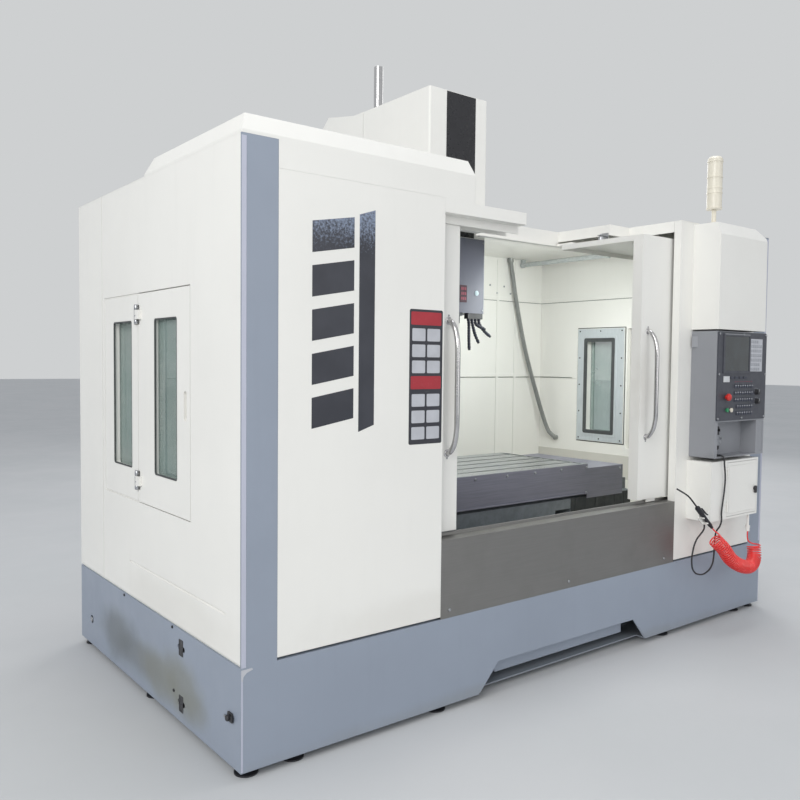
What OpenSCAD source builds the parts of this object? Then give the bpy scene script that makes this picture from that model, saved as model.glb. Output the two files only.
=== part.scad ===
// Vertical machining center with a sheet-metal enclosure, two sliding front doors and a side console.
// X runs right, Y runs back and Z runs up; the floor is z = 0.

/* [Enclosure] */
// Overall width across the side walls
body_w = 3600; // [3450:10:3800]
// Depth of the side walls
body_d = 1850; // [1840:10:1900]
// Height of the flat roof
roof_z = 2309; // [2280:1:2340]
// Height of the base pan's top
skirt_z = 414; // [380:1:430]
// Gap under the base pan
floor_gap = 30; // [20:1:40]
// Thickness of the double side walls
wall_t = 90; // [80:1:95]
// Thickness of the double back wall
back_t = 70; // [50:1:80]
// Sheet thickness of folded covers
sheet = 4; // [2:0.5:5]
// Plate thickness of the base pan
pan_t = 6; // [4:0.5:8]
// Width of the front corner posts
post_w = 147; // [120:1:160]
// Width of the opening in the front
opening_w = 1720; // [1660:10:1740]
// Depth of the folded edge of the front panels
panel_d = 45; // [30:1:50]
// Height of the fork pocket in the front of the pan
pocket_h = 125; // [90:1:140]
// Width of the fork pocket at its top
pocket_w = 1008; // [900:1:1100]
// Leveling pad diameter
pad_d = 90; // [70:1:100]

/* [Roof] */
// Height that the left hood stands over the roof
hood_h = 72; // [50:1:90]
// Reach of the left hood past the left edge of the opening
hood_reach = 171; // [150:1:200]
// Depth of the left hood
hood_d = 912; // [890:1:930]
// Inset of the hood's sloped sides
hood_bevel = 25; // [15:1:40]
// Drop of the hood's front edge below the roof
hood_drop = 106; // [95:1:115]
// Height of the roof's fascia
fascia_h = 57; // [40:1:58]
// Depth of the canopy
canopy_d = 330; // [300:1:400]
// Reach of the canopy into the opening
canopy_w = 490; // [400:1:520]
// Thickness of the canopy
canopy_t = 54; // [40:1:58]

/* [Doors] */
// Room between the left door's far edge and the wall, at rest
door_rest = 88; // [80:1:100]
// Thickness of the doors
door_t = 40; // [30:1:45]
// Front face of the doors behind the front plane
door_y = 60; // [56:1:66]
// Top of the left door
left_door_top = 2135; // [2100:1:2138]
// Top of the right door
right_door_top = 2185; // [2160:1:2190]
// Part of the left door that shows in the opening, at rest
left_show = 138; // [125:1:150]
// Part of the right door that shows in the opening, at rest
right_show = 262; // [245:1:280]
// Frame beside the door windows at the far edge
door_frame = 120; // [100:1:140]
// Height of the door windows
door_window_h = 800; // [700:1:900]
// Height of the windows' lower edge
door_window_z = 1050; // [1000:1:1150]
// Length of the bow handles
handle_len = 585; // [500:1:620]
// Rise of the bow handles
handle_rise = 48; // [30:1:52]
// Diameter of the handle tube
handle_d = 24; // [18:1:28]
// Height of the apron's top
sill_z = 755; // [735:1:757]
// Depth of the plate on top of the right door
door_roof_d = 565; // [520:1:575]

/* [Side doors] */
// Front edge of the side door frame
leaf_y0 = 433; // [400:1:450]
// Rear edge of the side door frame
leaf_y1 = 1448; // [1430:1:1470]
// Hinge line of the side leaf
leaf_hinge_y = 1000; // [990:1:1010]
// Bottom of the side door frame
leaf_z0 = 872; // [860:1:900]
// Top of the side door frame
leaf_z1 = 1810; // [1790:1:1830]
// Thickness of the side leaf
leaf_t = 50; // [35:1:60]
// Width of the side windows
win_w = 246; // [200:1:260]
// Height of the side windows
win_h = 672; // [600:1:700]
// Bottom of the side windows
win_z = 1018; // [1000:1:1040]
// Front edge of the leaf's window
win_y0 = 564; // [550:1:580]
// Front edge of the rear window
win_y1 = 1076; // [1060:1:1100]
// Thickness of window glass
glass_t = 8; // [5:1:10]

/* [Table] */
// Table length
table_l = 1400; // [1300:10:1440]
// Table width
table_w = 700; // [660:10:700]
// Height of the table top
table_z = 927; // [922:1:928]
// Table thickness
table_t = 120; // [100:1:124]
// Number of T-slots
slots = 5; // [3:1:6]
// Pitch of the T-slots
slot_pitch = 125; // [90:1:125]
// Width of the T-slots
slot_w = 18; // [14:1:22]
// Table center behind the front plane, at rest
table_y = 837; // [830:1:845]
// Length of the end covers on the table
end_cover_l = 338; // [300:1:340]
// Half width of the saddle's wings
saddle_half = 1129; // [1080:1:1140]
// Height of the bed ways
way_z = 640; // [630:1:645]
// Ball screw diameter
screw_d = 40; // [32:1:45]

/* [Head] */
// Spindle axis behind the front plane
spindle_y = 990; // [985:1:995]
// Height of the spindle nose, at rest
nose_z = 1720; // [1700:1:1730]
// Spindle cartridge diameter
spindle_d = 149; // [120:1:155]
// Width of the head cover
head_w = 436; // [424:1:436]
// Front of the head cover
head_y0 = 877; // [870:1:880]
// Back of the head cover
head_y1 = 1504; // [1495:1:1504]
// Bottom of the head cover
head_z0 = 1802; // [1795:1:1810]
// Seam between the head cover and the motor cover
head_z1 = 2230; // [2215:1:2240]
// Top of the motor cover
head_z2 = 3031; // [3025:1:3031]
// Column cover front
tower_y0 = 1508; // [1507:1:1510]
// Column cover back
tower_y1 = 1990; // [1985:1:2010]
// Column cover top at the front
tower_z = 3032; // [3031:1:3050]
// Diameter of the steel tube on the column cover
mast_d = 56; // [40:1:60]
// Top of the steel tube
mast_z = 3343; // [3200:1:3400]
// Front face of the column
column_y = 1712; // [1711:1:1716]

/* [Console] */
// Left edge of the control cabinet right of center
cab_x = 985; // [980:1:990]
// Width of the control cabinet
cab_w = 525; // [500:1:540]
// Depth of the control cabinet
cab_d = 155; // [140:1:160]
// Bottom of the control cabinet
cab_z0 = 1000; // [990:1:1005]
// Top of the control cabinet
cab_z1 = 1705; // [1695:1:1710]
// Width of the screen
screen_w = 254; // [220:1:260]
// Height of the screen
screen_h = 193; // [160:1:200]
// Depth of the recess for the pendant
recess_d = 95; // [80:1:110]
// Height of the recess
recess_h = 194; // [180:1:198]
// Depth of the console hood
visor_d = 165; // [160:1:175]
// Emergency stop cap diameter
estop_d = 40; // [34:1:44]
// Push button diameter
button_d = 24; // [18:1:28]
// Override knob diameter
knob_d = 34; // [28:1:36]
// Locker width
locker_w = 499; // [480:1:505]
// Locker depth
locker_d = 150; // [135:1:152]
// Locker bottom
locker_z0 = 648; // [640:1:660]
// Locker top
locker_z1 = 980; // [970:1:985]
// Signal tower body diameter
lamp_d = 84; // [60:1:90]
// Signal tower body height
lamp_h = 286; // [200:1:300]

/* [Rear] */
// Width of the electrical cabinet
elec_w = 1080; // [1000:10:1100]
// Depth of the electrical cabinet
elec_d = 400; // [350:10:450]
// Bottom of the electrical cabinet
elec_z0 = 520; // [480:10:560]
// Top of the electrical cabinet
elec_z1 = 2200; // [2100:10:2220]
// Tool drum diameter
drum_d = 600; // [560:10:620]
// Number of tool notches
tools = 20; // [12:1:24]

/* [Hidden] */
$fn = 48;

// Running clearance between moving pieces
gap = 0.3;
half = body_w / 2;
inner = half - wall_t;
open_h = opening_w / 2;
left_lead = open_h - left_show;
right_lead = open_h - right_show;
door_w = inner - left_lead - door_rest;
door_window_w = door_w - 300 - door_frame;
deck_z = roof_z - sheet;
panel_z0 = skirt_z + 11;
back_y = body_d - back_t;
door_z0 = sill_z + sheet + 12 + gap;
head_h = head_w / 2;
panel_t = 6;
estop_h = 30;
cab_door_t = 20;
cab_handle = 30;
y_front = -(cab_d + panel_t + estop_h);
y_rear = body_d + elec_d + cab_door_t + cab_handle;
y_mid = (y_front + y_rear) / 2;
cab_x1 = cab_x + cab_w;
recess_y = -(cab_d - recess_d);
recess_z = cab_z0 + 6;
bezel_z = recess_z + recess_h + 8;
screw_r = screw_d / 2;
x_screw_z = table_z - table_t - 50;
y_screw_z = way_z - 100;
z_screw_y = column_y + 60;
saddle_top = table_z - table_t - gap;
pan_floor = way_z - 120;
elec_x = 420;
drum_x = 710 - inner;
drum_y = back_y - 430;
drum_z = 1900;
leaf_gap = 4;

white = [0.93, 0.92, 0.88];
bluegrey = [0.55, 0.60, 0.68];
steel = [0.72, 0.73, 0.74];
iron = [0.40, 0.42, 0.43];
dark = [0.18, 0.19, 0.21];
grey = [0.58, 0.60, 0.62];
glassy = [0.70, 0.80, 0.76];

module place() translate([0, -y_mid, 0]) children();
module block(x, y, z) translate([x[0], y[0], z[0]]) cube([x[1] - x[0], y[1] - y[0], z[1] - z[0]]);
// Extrusions of a profile along each axis: (y, z) along X, (x, z) along Y and (x, y) along Z
module along_x(x) translate([x[0], 0, 0]) rotate([90, 0, 90]) linear_extrude(x[1] - x[0]) children();
module along_y(y) translate([0, y[1], 0]) rotate([90, 0, 0]) linear_extrude(y[1] - y[0]) children();
module along_z(z) translate([0, 0, z[0]]) linear_extrude(z[1] - z[0]) children();
module rod_x(x, y, z, d) translate([x[0], y, z]) rotate([0, 90, 0]) cylinder(h = x[1] - x[0], d = d);
module rod_y(x, y, z, d) translate([x, y[1], z]) rotate([90, 0, 0]) cylinder(h = y[1] - y[0], d = d);
module rod_z(x, y, z, d) translate([x, y, z[0]]) cylinder(h = z[1] - z[0], d = d);
module both_sides() {
    children();
    mirror([1, 0, 0]) children();
}
// Rectangle with round corners, from exact arcs
module soft_rect(x, y, r) {
    translate([x[0] + r, y[0]]) square([x[1] - x[0] - 2 * r, y[1] - y[0]]);
    translate([x[0], y[0] + r]) square([x[1] - x[0], y[1] - y[0] - 2 * r]);
    for (px = [x[0] + r, x[1] - r], py = [y[0] + r, y[1] - r]) translate([px, py]) circle(r);
}
// Folded panel with all four edges turned back
module folded(x, y, z, t) {
    difference() {
        block(x, y, z);
        block([x[0] + t, x[1] - t], [y[0] + t, y[1] + 1], [z[0] + t, z[1] - t]);
    }
}
// Tube along a smooth line through chosen points
function lerp(a, b, t) = a + (b - a) * t;
function spline(p, i, t) = let(
    n = len(p) - 1,
    a = p[max(i - 1, 0)],
    b = p[i],
    c = p[i + 1],
    d = p[min(i + 2, n)]
) 0.5 * (2 * b + (c - a) * t + (2 * a - 5 * b + 4 * c - d) * t * t + (3 * b - a - 3 * c + d) * t * t * t);
function smooth_line(p, steps) = concat(
    [for (i = [0 : len(p) - 2], k = [0 : steps - 1]) spline(p, i, k / steps)],
    [p[len(p) - 1]]
);
function unit(v) = v / norm(v);
function tangent(p, i) = unit(p[min(i + 1, len(p) - 1)] - p[max(i - 1, 0)]);
function carry(u, t) = unit(u - (u * t) * t);
function frames(p, i, u) = i >= len(p) ? [] :
    let(v = carry(u, tangent(p, i))) concat([v], frames(p, i + 1, v));
module swept(points, d, steps = 5, sides = 8, start = [0, 1, 0]) {
    p = smooth_line(points, steps);
    n = len(p);
    u = frames(p, 0, start);
    ring = [for (i = [0 : n - 1], k = [0 : sides - 1]) let(
        a = 360 * k / sides,
        w = cross(tangent(p, i), u[i])
    ) p[i] + d / 2 * (cos(a) * u[i] + sin(a) * w)];
    caps = [[for (k = [0 : sides - 1]) k], [for (k = [sides - 1 : -1 : 0]) (n - 1) * sides + k]];
    walls = [for (i = [0 : n - 2], k = [0 : sides - 1])
        [i * sides + k, (i + 1) * sides + k, (i + 1) * sides + (k + 1) % sides,
            i * sides + (k + 1) % sides]];
    polyhedron(ring, concat(caps, walls));
}

// Base

module base_pan() color(bluegrey) place() {
    difference() {
        union() {
            difference() {
                block([-half, half], [0, body_d], [floor_gap, skirt_z]);
                block([-half + pan_t, half - pan_t], [pan_t, body_d - pan_t],
                    [floor_gap + pan_t, skirt_z - pan_t]);
                block([-inner, inner], [panel_d, back_y], [skirt_z - pan_t - 1, skirt_z + 1]);
                block([-400, 400], [back_y - 1, body_d + 1], [floor_gap + pan_t, skirt_z + 1]);
            }
            both_sides() {
                block([-half, -half + post_w], [0, pan_t], [skirt_z, deck_z]);
                block([-half + post_w - pan_t, -half + post_w], [0, panel_d], [skirt_z, deck_z]);
            }
        }
        along_y([-1, pan_t + 1]) polygon([
            [-pocket_w / 2 - 120, floor_gap - 1], [pocket_w / 2 + 110, floor_gap - 1],
            [pocket_w / 2, floor_gap + pocket_h], [-pocket_w / 2, floor_gap + pocket_h]
        ]);
        block([-pocket_w / 2 - 120, pocket_w / 2 + 110], [-1, 56], [floor_gap - 1, floor_gap + pan_t + 1]);
        both_sides() for (z = [floor_gap + 78, floor_gap + 307])
            translate([-half, 529, z]) rotate([0, 90, 0]) linear_extrude(4 * pan_t, center = true)
                soft_rect([-11, 11], [-36, 36], 10);
        both_sides() rod_x([-half - 1, -half + pan_t + 1], body_d - 172, floor_gap + 131, 44);
    }
    // Folded back of the fork pocket
    along_x([-pocket_w / 2 + 30, pocket_w / 2 - 30]) polygon([
        [pan_t / 2, floor_gap + pocket_h], [56, floor_gap + pocket_h - 20], [56, floor_gap + 50],
        [56 + pan_t, floor_gap + 50], [56 + pan_t, floor_gap + pocket_h - 14],
        [pan_t / 2, floor_gap + pocket_h + pan_t]
    ]);
}

foot_x = [-half + 52, -half + 247, -834, 834, half - 216, half - 52];
foot_y = [60, body_d / 2, body_d - 60];
module leveling_feet() color(dark) place() {
    for (x = foot_x, y = foot_y) translate([x, y, 0]) {
        rotate_extrude() polygon([
            [0, 0], [pad_d / 2, 0], [pad_d / 2, 6], [pad_d / 4 + 2, 12], [0, 12]
        ]);
        cylinder(h = floor_gap, d = 20);
        translate([0, 0, 12]) cylinder(h = 9, d = 34, $fn = 6);
    }
}

module bed() color(iron) place() {
    difference() {
        along_y([240, column_y + 430]) polygon([
            [-390, floor_gap + pan_t], [390, floor_gap + pan_t], [390, 120], [380, 140],
            [380, way_z - 60], [360, way_z - 40], [360, way_z], [250, way_z], [250, way_z - 30],
            [120, way_z - 40], [120, way_z - 165], [-120, way_z - 165], [-120, way_z - 40],
            [-250, way_z - 30], [-250, way_z], [-360, way_z], [-360, way_z - 40],
            [-380, way_z - 60], [-380, 140], [-390, 120]
        ]);
        // Core openings between the ribs
        for (i = [0 : 4]) block([-400, -180], [330 + 300 * i, 560 + 300 * i], [130, way_z - 240]);
        for (i = [0 : 4]) block([180, 400], [330 + 300 * i, 560 + 300 * i], [130, way_z - 240]);
    }
    // Screw bearings with the axis motor in front
    difference() {
        union() {
            for (y = [[470, 530], [column_y - 20, column_y + 430]])
                block([-120, 120], y, [way_z - 166, way_z - 45]);
            block([-120, 120], [column_y, column_y + 430], [way_z - 46, way_z]);
        }
        rod_y(0, [400, column_y + 60], y_screw_z, screw_d * 0.7 + 2 * gap);
    }
    block([-75, 75], [270, 470 - gap], [way_z - 166, way_z - 45]);
}

function column_half(i) = [380, 330][i];
module column() color(iron) place() {
    difference() {
        intersection() {
            along_x([-400, 400]) polygon([
                [column_y, way_z], [column_y + 430, way_z], [column_y + 430, 900],
                [column_y + 250, 2240], [column_y + 240, 2880], [column_y, 2880]
            ]);
            along_y([column_y - 1, column_y + 500]) polygon([
                [-column_half(0), way_z], [column_half(0), way_z], [column_half(1), 1400],
                [column_half(1), 2220], [190, 2290], [190, 2880], [-190, 2880], [-190, 2290],
                [-column_half(1), 2220], [-column_half(1), 1400]
            ]);
        }
        block([-70, 70], [column_y - 1, column_y + 118], [1000, 2820]);
        for (z = [760, 1180, 1600]) both_sides()
            along_x([-420, -250]) soft_rect([column_y + 90, column_y + 250], [z, z + 300], 40);
        rod_z(0, z_screw_y, [960, 2860], screw_d * 0.7 + 2 * gap);
    }
    // Box ways
    both_sides() difference() {
        block([110, 180], [column_y - 40, column_y + 1], [1000, 2860]);
        block([100, 122], [column_y - 20, column_y], [990, 2870]);
    }
    // Axis motor on top
    along_z([2880, 2890]) translate([0, z_screw_y]) square(170, center = true);
    along_z([2889, 2990]) translate([0, z_screw_y]) square(140, center = true);
}

// Side walls: two skins folded together, a hinged leaf in front and a fixed window behind it

module window_cut(y0, t0, t1) {
    along_x([t0, t1]) soft_rect([y0, y0 + win_w], [win_z, win_z + win_h], 14);
}
module left_wall_shape() {
    difference() {
        union() {
            block([-half, -inner], [pan_t, body_d], [panel_z0, deck_z]);
            block([-half + 8, -inner], [pan_t, body_d], [skirt_z, panel_z0 + 1]);
            // Bolted frame round the fixed window inside
            block([-inner - 1, -inner + 8], [980, 1400], [win_z - 73, win_z + win_h + 87]);
        }
        // Way through behind the leaf, with a stop all round
        block([-half - 1, -half + leaf_t + leaf_gap], [leaf_y0, leaf_hinge_y], [leaf_z0, leaf_z1]);
        block([-half - 1, -inner + 9], [leaf_y0 + 40, leaf_hinge_y - 40], [leaf_z0 + 40, leaf_z1 - 40]);
        window_cut(win_y1, -half - 1, -inner + 9);
        // Pane seat and its groove
        along_x([-half + 30, -half + 30 + glass_t + gap])
            square_at([win_y1 - 12, win_y1 + win_w + 12], [win_z - 12, win_z + win_h + 12]);
        // Shadow line round the frame
        difference() {
            block([-half - 1, -half + 4], [leaf_hinge_y - 1, leaf_y1], [leaf_z0, leaf_z1]);
            block([-half - 2, -half + 5], [leaf_hinge_y - 2, leaf_y1 - 7], [leaf_z0 + 7, leaf_z1 - 7]);
        }
        // Panel seam and the pressed crease below the leaf
        block([-half - 1, -half + 4], [leaf_y1 + 32, leaf_y1 + 38], [panel_z0 - 1, deck_z + 1]);
        along_y([127, 1113]) polygon([
            [-half - 1, 576], [-half + 5, 582], [-half - 1, 588]
        ]);
        // Seams of the inner skin
        for (z = [1401, 1990]) block([-inner - 4, -inner + 1], [panel_d, back_y], [z, z + 6]);
        // Hinge relief
        for (z = hinge_zs) block([-half - 1, -half + 6], [leaf_hinge_y - 20, leaf_hinge_y + 45],
            [z - 2, z + 84]);
    }
    // Fixed knuckles and pins of the leaf's hinges
    for (z = hinge_zs) {
        block([-half, -half + 7], [leaf_hinge_y + 14, leaf_hinge_y + 44], [z, z + 82]);
        for (k = [[0, 20], [62, 82]]) {
            rod_z(-half - 7, leaf_hinge_y, [z + k[0], z + k[1]], 18);
            block([-half - 16, -half - 9], [leaf_hinge_y, leaf_hinge_y + 14], [z + k[0], z + k[1]]);
            along_z([z + k[0], z + k[1]]) polygon([
                [-half - 15.5, leaf_hinge_y + 3], [-half - 9, leaf_hinge_y + 4],
                [-half + 6, leaf_hinge_y + 16], [-half + 6, leaf_hinge_y + 30],
                [-half, leaf_hinge_y + 30]
            ]);
        }
        rod_z(-half - 7, leaf_hinge_y, [z, z + 82], 8);
    }
}
hinge_zs = [leaf_z0 + 58, leaf_z1 - 138];
module square_at(x, y) translate([x[0], y[0]]) square([x[1] - x[0], y[1] - y[0]]);
module left_leaf_shape() {
    difference() {
        block([-half, -half + leaf_t], [leaf_y0 + leaf_gap, leaf_hinge_y - leaf_gap],
            [leaf_z0 + leaf_gap, leaf_z1 - leaf_gap]);
        window_cut(win_y0, -half - 1, -half + leaf_t + 1);
        along_x([-half + 20, -half + 20 + glass_t + gap])
            square_at([win_y0 - 12, win_y0 + win_w + 12], [win_z - 12, win_z + win_h + 12]);
        // Finger pull
        translate([-half, leaf_y0 + 50, 1330]) rotate([0, 90, 0]) linear_extrude(40, center = true)
            soft_rect([-60, 60], [-14, 14], 12);
        for (z = hinge_zs) block([-half - 1, -half + 6], [leaf_hinge_y - 20, leaf_hinge_y], [z - 2, z + 84]);
    }
    for (z = hinge_zs) difference() {
        union() {
            rod_z(-half - 7, leaf_hinge_y, [z + 20 + gap, z + 62 - gap], 18);
            block([-half - 16, -half - 9], [leaf_hinge_y - 30, leaf_hinge_y], [z + 20 + gap, z + 62 - gap]);
            block([-half - 16, -half + 1], [leaf_hinge_y - 44, leaf_hinge_y - 24],
                [z + 20 + gap, z + 62 - gap]);
        }
        rod_z(-half - 7, leaf_hinge_y, [z, z + 82], 8 + 2 * gap);
    }
}
module pane(y0, x0) block([x0 + gap / 2, x0 + glass_t + gap / 2], [y0 - 11.7, y0 + win_w + 11.7],
    [win_z - 11.7, win_z + win_h + 11.7]);
module left_wall() color(white) place() left_wall_shape();
module right_wall() color(white) place() mirror([1, 0, 0]) left_wall_shape();
module left_leaf() color(white) place() left_leaf_shape();
module right_leaf() color(white) place() mirror([1, 0, 0]) left_leaf_shape();
module left_leaf_glass() color(glassy) place() pane(win_y0, -half + 20);
module right_leaf_glass() color(glassy) place() mirror([1, 0, 0]) pane(win_y0, -half + 20);
module wall_glass() color(glassy) place() both_sides() pane(win_y1, -half + 30);

// Front

module left_front_panel() color(white) place()
    folded([-half + post_w, -open_h], [0, panel_d], [panel_z0, roof_z - hood_drop], sheet);

visor_x0 = cab_x - 5;
visor_x1 = visor_x0 + 500;
visor_z0 = cab_z1 + 8;
visor_z1 = roof_z - 13;
function visor_front(i) = [
    [visor_x0 + i, visor_z0 + i], [visor_x1 - i, visor_z0 + i], [visor_x1 - 7 - i, visor_z1 - 46 - i / 2],
    [visor_x1 - 96 - i / 2, visor_z1 - i], [visor_x0 + i, visor_z1 - i]
];
function visor_side(i) = [
    [sheet + 1, visor_z0 + i], [-visor_d + i, visor_z0 + i], [-visor_d + i, visor_z1 - 66 - i / 2],
    [-visor_d + 25 + i / 2, visor_z1 - i], [sheet + 1, visor_z1 - i]
];
module visor(i) intersection() {
    along_y([-visor_d - 1, sheet]) polygon(visor_front(i));
    along_x([visor_x0 - 1, visor_x1 + 1]) polygon(visor_side(i));
}
// Blow gun: a point on its axis, its slope and the pegs under it
gun_y = -locker_d - 12;
gun_tilt = 130;
gun_root = [cab_x - 160, gun_y, locker_z0 + 98];
gun_len = 192;
function gun_axis(d) = [gun_root[0] + d * sin(gun_tilt), gun_root[2] + d * cos(gun_tilt)];
function gun_peg(d) = gun_axis(d) + (15 + gap) * [cos(gun_tilt), -sin(gun_tilt)];
locker_x0 = cab_x - 14;
locker_x1 = locker_x0 + locker_w;
ldoor_x0 = locker_x0 + 169;
ldoor_x1 = locker_x1 - 14;
ldoor_hinge_zs = [locker_z0 + 40, locker_z1 - 94];
fitting = [locker_x1 - 58, -130, locker_z0 - 103];
module right_front_panel() color(white) place() {
    difference() {
        union() {
            folded([open_h, half - post_w], [0, panel_d], [panel_z0, deck_z], sheet);
            visor(0);
            block([locker_x0, locker_x1], [-locker_d, sheet], [locker_z0, locker_z1]);
        }
        visor(sheet);
        difference() {
            block([locker_x0 + sheet, locker_x1 - sheet], [-locker_d + sheet, sheet + 1],
                [locker_z0 + sheet, locker_z1 - sheet]);
            block([ldoor_x0 - 40, ldoor_x0 - 2], [-locker_d, -locker_d + 30],
                [locker_z0, locker_z1]);
        }
        block([ldoor_x0 - 2, ldoor_x1 + 2], [-locker_d - 1, -locker_d + 40],
            [locker_z0 + 12, locker_z1 - 12]);
        rod_z(fitting[0], fitting[1], [locker_z0 - 1, locker_z0 + sheet + 1], 12);
    }
    // Back plate of the locker
    block([locker_x0, locker_x1], [0, sheet], [locker_z0, locker_z1]);
    // Bar with two pegs that the air gun lies on
    along_y([gun_y + 14 + gap, gun_y + 20]) polygon([
        [locker_x0 + 1, locker_z0 + 4], [locker_x0 + 1, locker_z0 + 60],
        [gun_peg(75)[0] - 2, gun_peg(75)[1] + 12],
        [gun_peg(75)[0] - 10, gun_peg(75)[1] - 6], [gun_peg(125)[0] - 6, gun_peg(125)[1] - 10]
    ]);
    for (d = [75, 125]) rod_y(gun_peg(d)[0], [gun_y - 14, gun_y + 15], gun_peg(d)[1], 8);
    // Fixed knuckles of the locker's hinges
    for (z = ldoor_hinge_zs) {
        for (k = [0, 40]) rod_z(ldoor_x0 - 1, -locker_d - 4, [z + k, z + k + 14], 8);
        for (k = [0, 40]) block([ldoor_x0 - 18, ldoor_x0 - 1], [-locker_d - 2, -locker_d + 1],
            [z + k, z + k + 14]);
        rod_z(ldoor_x0 - 1, -locker_d - 4, [z, z + 54], 4);
    }
    // Air outlet under the locker
    rod_z(fitting[0], fitting[1], [fitting[2], locker_z0 + 1], 14);
    translate([fitting[0], fitting[1], fitting[2] + 20]) cylinder(h = 14, d = 26, $fn = 6);
    rod_z(fitting[0], fitting[1], [fitting[2], fitting[2] + 21], 22);
    // Cable gland under the locker
    rod_z(locker_x0 + 29, -100, [locker_z0 - 22, locker_z0 + 1], 18);
}

module apron() color(steel) place() {
    both_ends = half - wall_t;
    along_x([-open_h, open_h]) polygon([
        [0, skirt_z], [sheet, skirt_z], [sheet, sill_z], [0, sill_z]
    ]);
    // Sill behind the panels, with the rail that carries the doors
    along_x([-both_ends, both_ends]) polygon([
        [panel_d, sill_z], [130, sill_z], [130, pan_floor + sheet], [130 - sheet, pan_floor + sheet],
        [130 - sheet, sill_z - sheet], [panel_d, sill_z - sheet]
    ]);
    along_x([-open_h, open_h]) polygon([
        [0, sill_z - sheet], [panel_d + 1, sill_z - sheet], [panel_d + 1, sill_z], [0, sill_z]
    ]);
    along_x([-both_ends, both_ends]) polygon([
        [door_y + door_t / 2 - 6, sill_z - 1], [door_y + door_t / 2 + 6, sill_z - 1],
        [door_y + door_t / 2 + 3, sill_z + 12], [door_y + door_t / 2 - 3, sill_z + 12]
    ]);
}

door_roller_z = sill_z + 12 + gap;
// A door is drawn with its leading edge at x = 0 and its body to the right
module door_shape(top) {
    difference() {
        block([0, door_w], [door_y, door_y + door_t], [door_z0 + 6, top]);
        along_y([door_y - 1, door_y + door_t + 1])
            soft_rect([300, 300 + door_window_w], [door_window_z, door_window_z + door_window_h], 20);
        block([288, 312 + door_window_w], [door_y + 16, door_y + 16 + glass_t + gap],
            [door_window_z - 12, door_window_z + door_window_h + 12]);
        // Hollow behind the front skin, open to the back
        block([sheet + 110, 300 - 26], [door_y + 12, door_y + door_t + 1], [door_z0 + 60, top - 60]);
        block([326 + door_window_w, door_w - 26], [door_y + 12, door_y + door_t + 1],
            [door_z0 + 60, top - 60]);
    }
    // Stile fold at the leading edge
    block([0, 18], [door_y + door_t - 1, door_y + door_t + 22], [door_z0 + 6, top]);
    // Shoes on the rail
    for (x = [90, door_w - 170]) difference() {
        block([x, x + 80], [door_y + 6, door_y + door_t - 6], [sill_z + 4, door_z0 + 10]);
        block([x - 1, x + 81], [door_y + door_t / 2 - 8, door_y + door_t / 2 + 8],
            [sill_z + 3, door_roller_z]);
    }
}
module door_pane() block([288.3, 311.7 + door_window_w],
    [door_y + 16 + gap / 2, door_y + 16 + gap / 2 + glass_t],
    [door_window_z - 11.7, door_window_z + door_window_h + 11.7]);
handle_x = 60;
handle_z = door_window_z + 358;
stand = 14;
handle_r = (pow(handle_len / 2, 2) + pow(handle_rise, 2)) / (2 * handle_rise);
handle_a = 2 * asin(handle_len / 2 / handle_r);
module handle_shape() {
    translate([handle_x, door_y - stand - handle_rise + handle_r, handle_z]) rotate([90, 0, -90])
        rotate([0, 0, -handle_a / 2]) rotate_extrude(angle = handle_a, $fn = 96)
            translate([handle_r, 0]) circle(d = handle_d);
    for (s = [-1, 1]) {
        rod_y(handle_x, [door_y - stand - 4, door_y], handle_z + s * (handle_len / 2 - handle_d / 2),
            handle_d);
        rod_y(handle_x, [door_y - 4, door_y], handle_z + s * (handle_len / 2 - handle_d / 2), handle_d + 10);
    }
}
module at_left_door() translate([-left_lead, 0, 0]) mirror([1, 0, 0]) children();
module at_right_door() translate([right_lead, 0, 0]) children();
module left_door() color(white) place() at_left_door() door_shape(left_door_top);
module left_door_glass() color(glassy) place() at_left_door() door_pane();
module left_handle() color(steel) place() at_left_door() handle_shape();
guide_z = right_door_top + 35;
module right_door() color(white) place() at_right_door() {
    door_shape(right_door_top);
    // Roof plate that closes the top of the work area with the door
    difference() {
        block([0, door_w], [door_y, door_y + door_roof_d], [right_door_top - 1, right_door_top + 29]);
        block([sheet, door_w - sheet], [door_y + door_t, door_y + door_roof_d - sheet],
            [right_door_top - 2, right_door_top + 25]);
    }
    // Hangers on the rear guide
    for (x = [60, door_w - 120]) block([x, x + 60], [door_y + door_roof_d - 30, 712],
        [guide_z + gap, guide_z + 14]);
    for (x = [60, door_w - 120]) block([x, x + 60], [door_y + door_roof_d - 30, door_y + door_roof_d],
        [right_door_top + 24, guide_z + 14]);
}
module right_door_glass() color(glassy) place() at_right_door() door_pane();
module right_handle() color(steel) place() at_right_door() handle_shape();

// Roof

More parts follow.
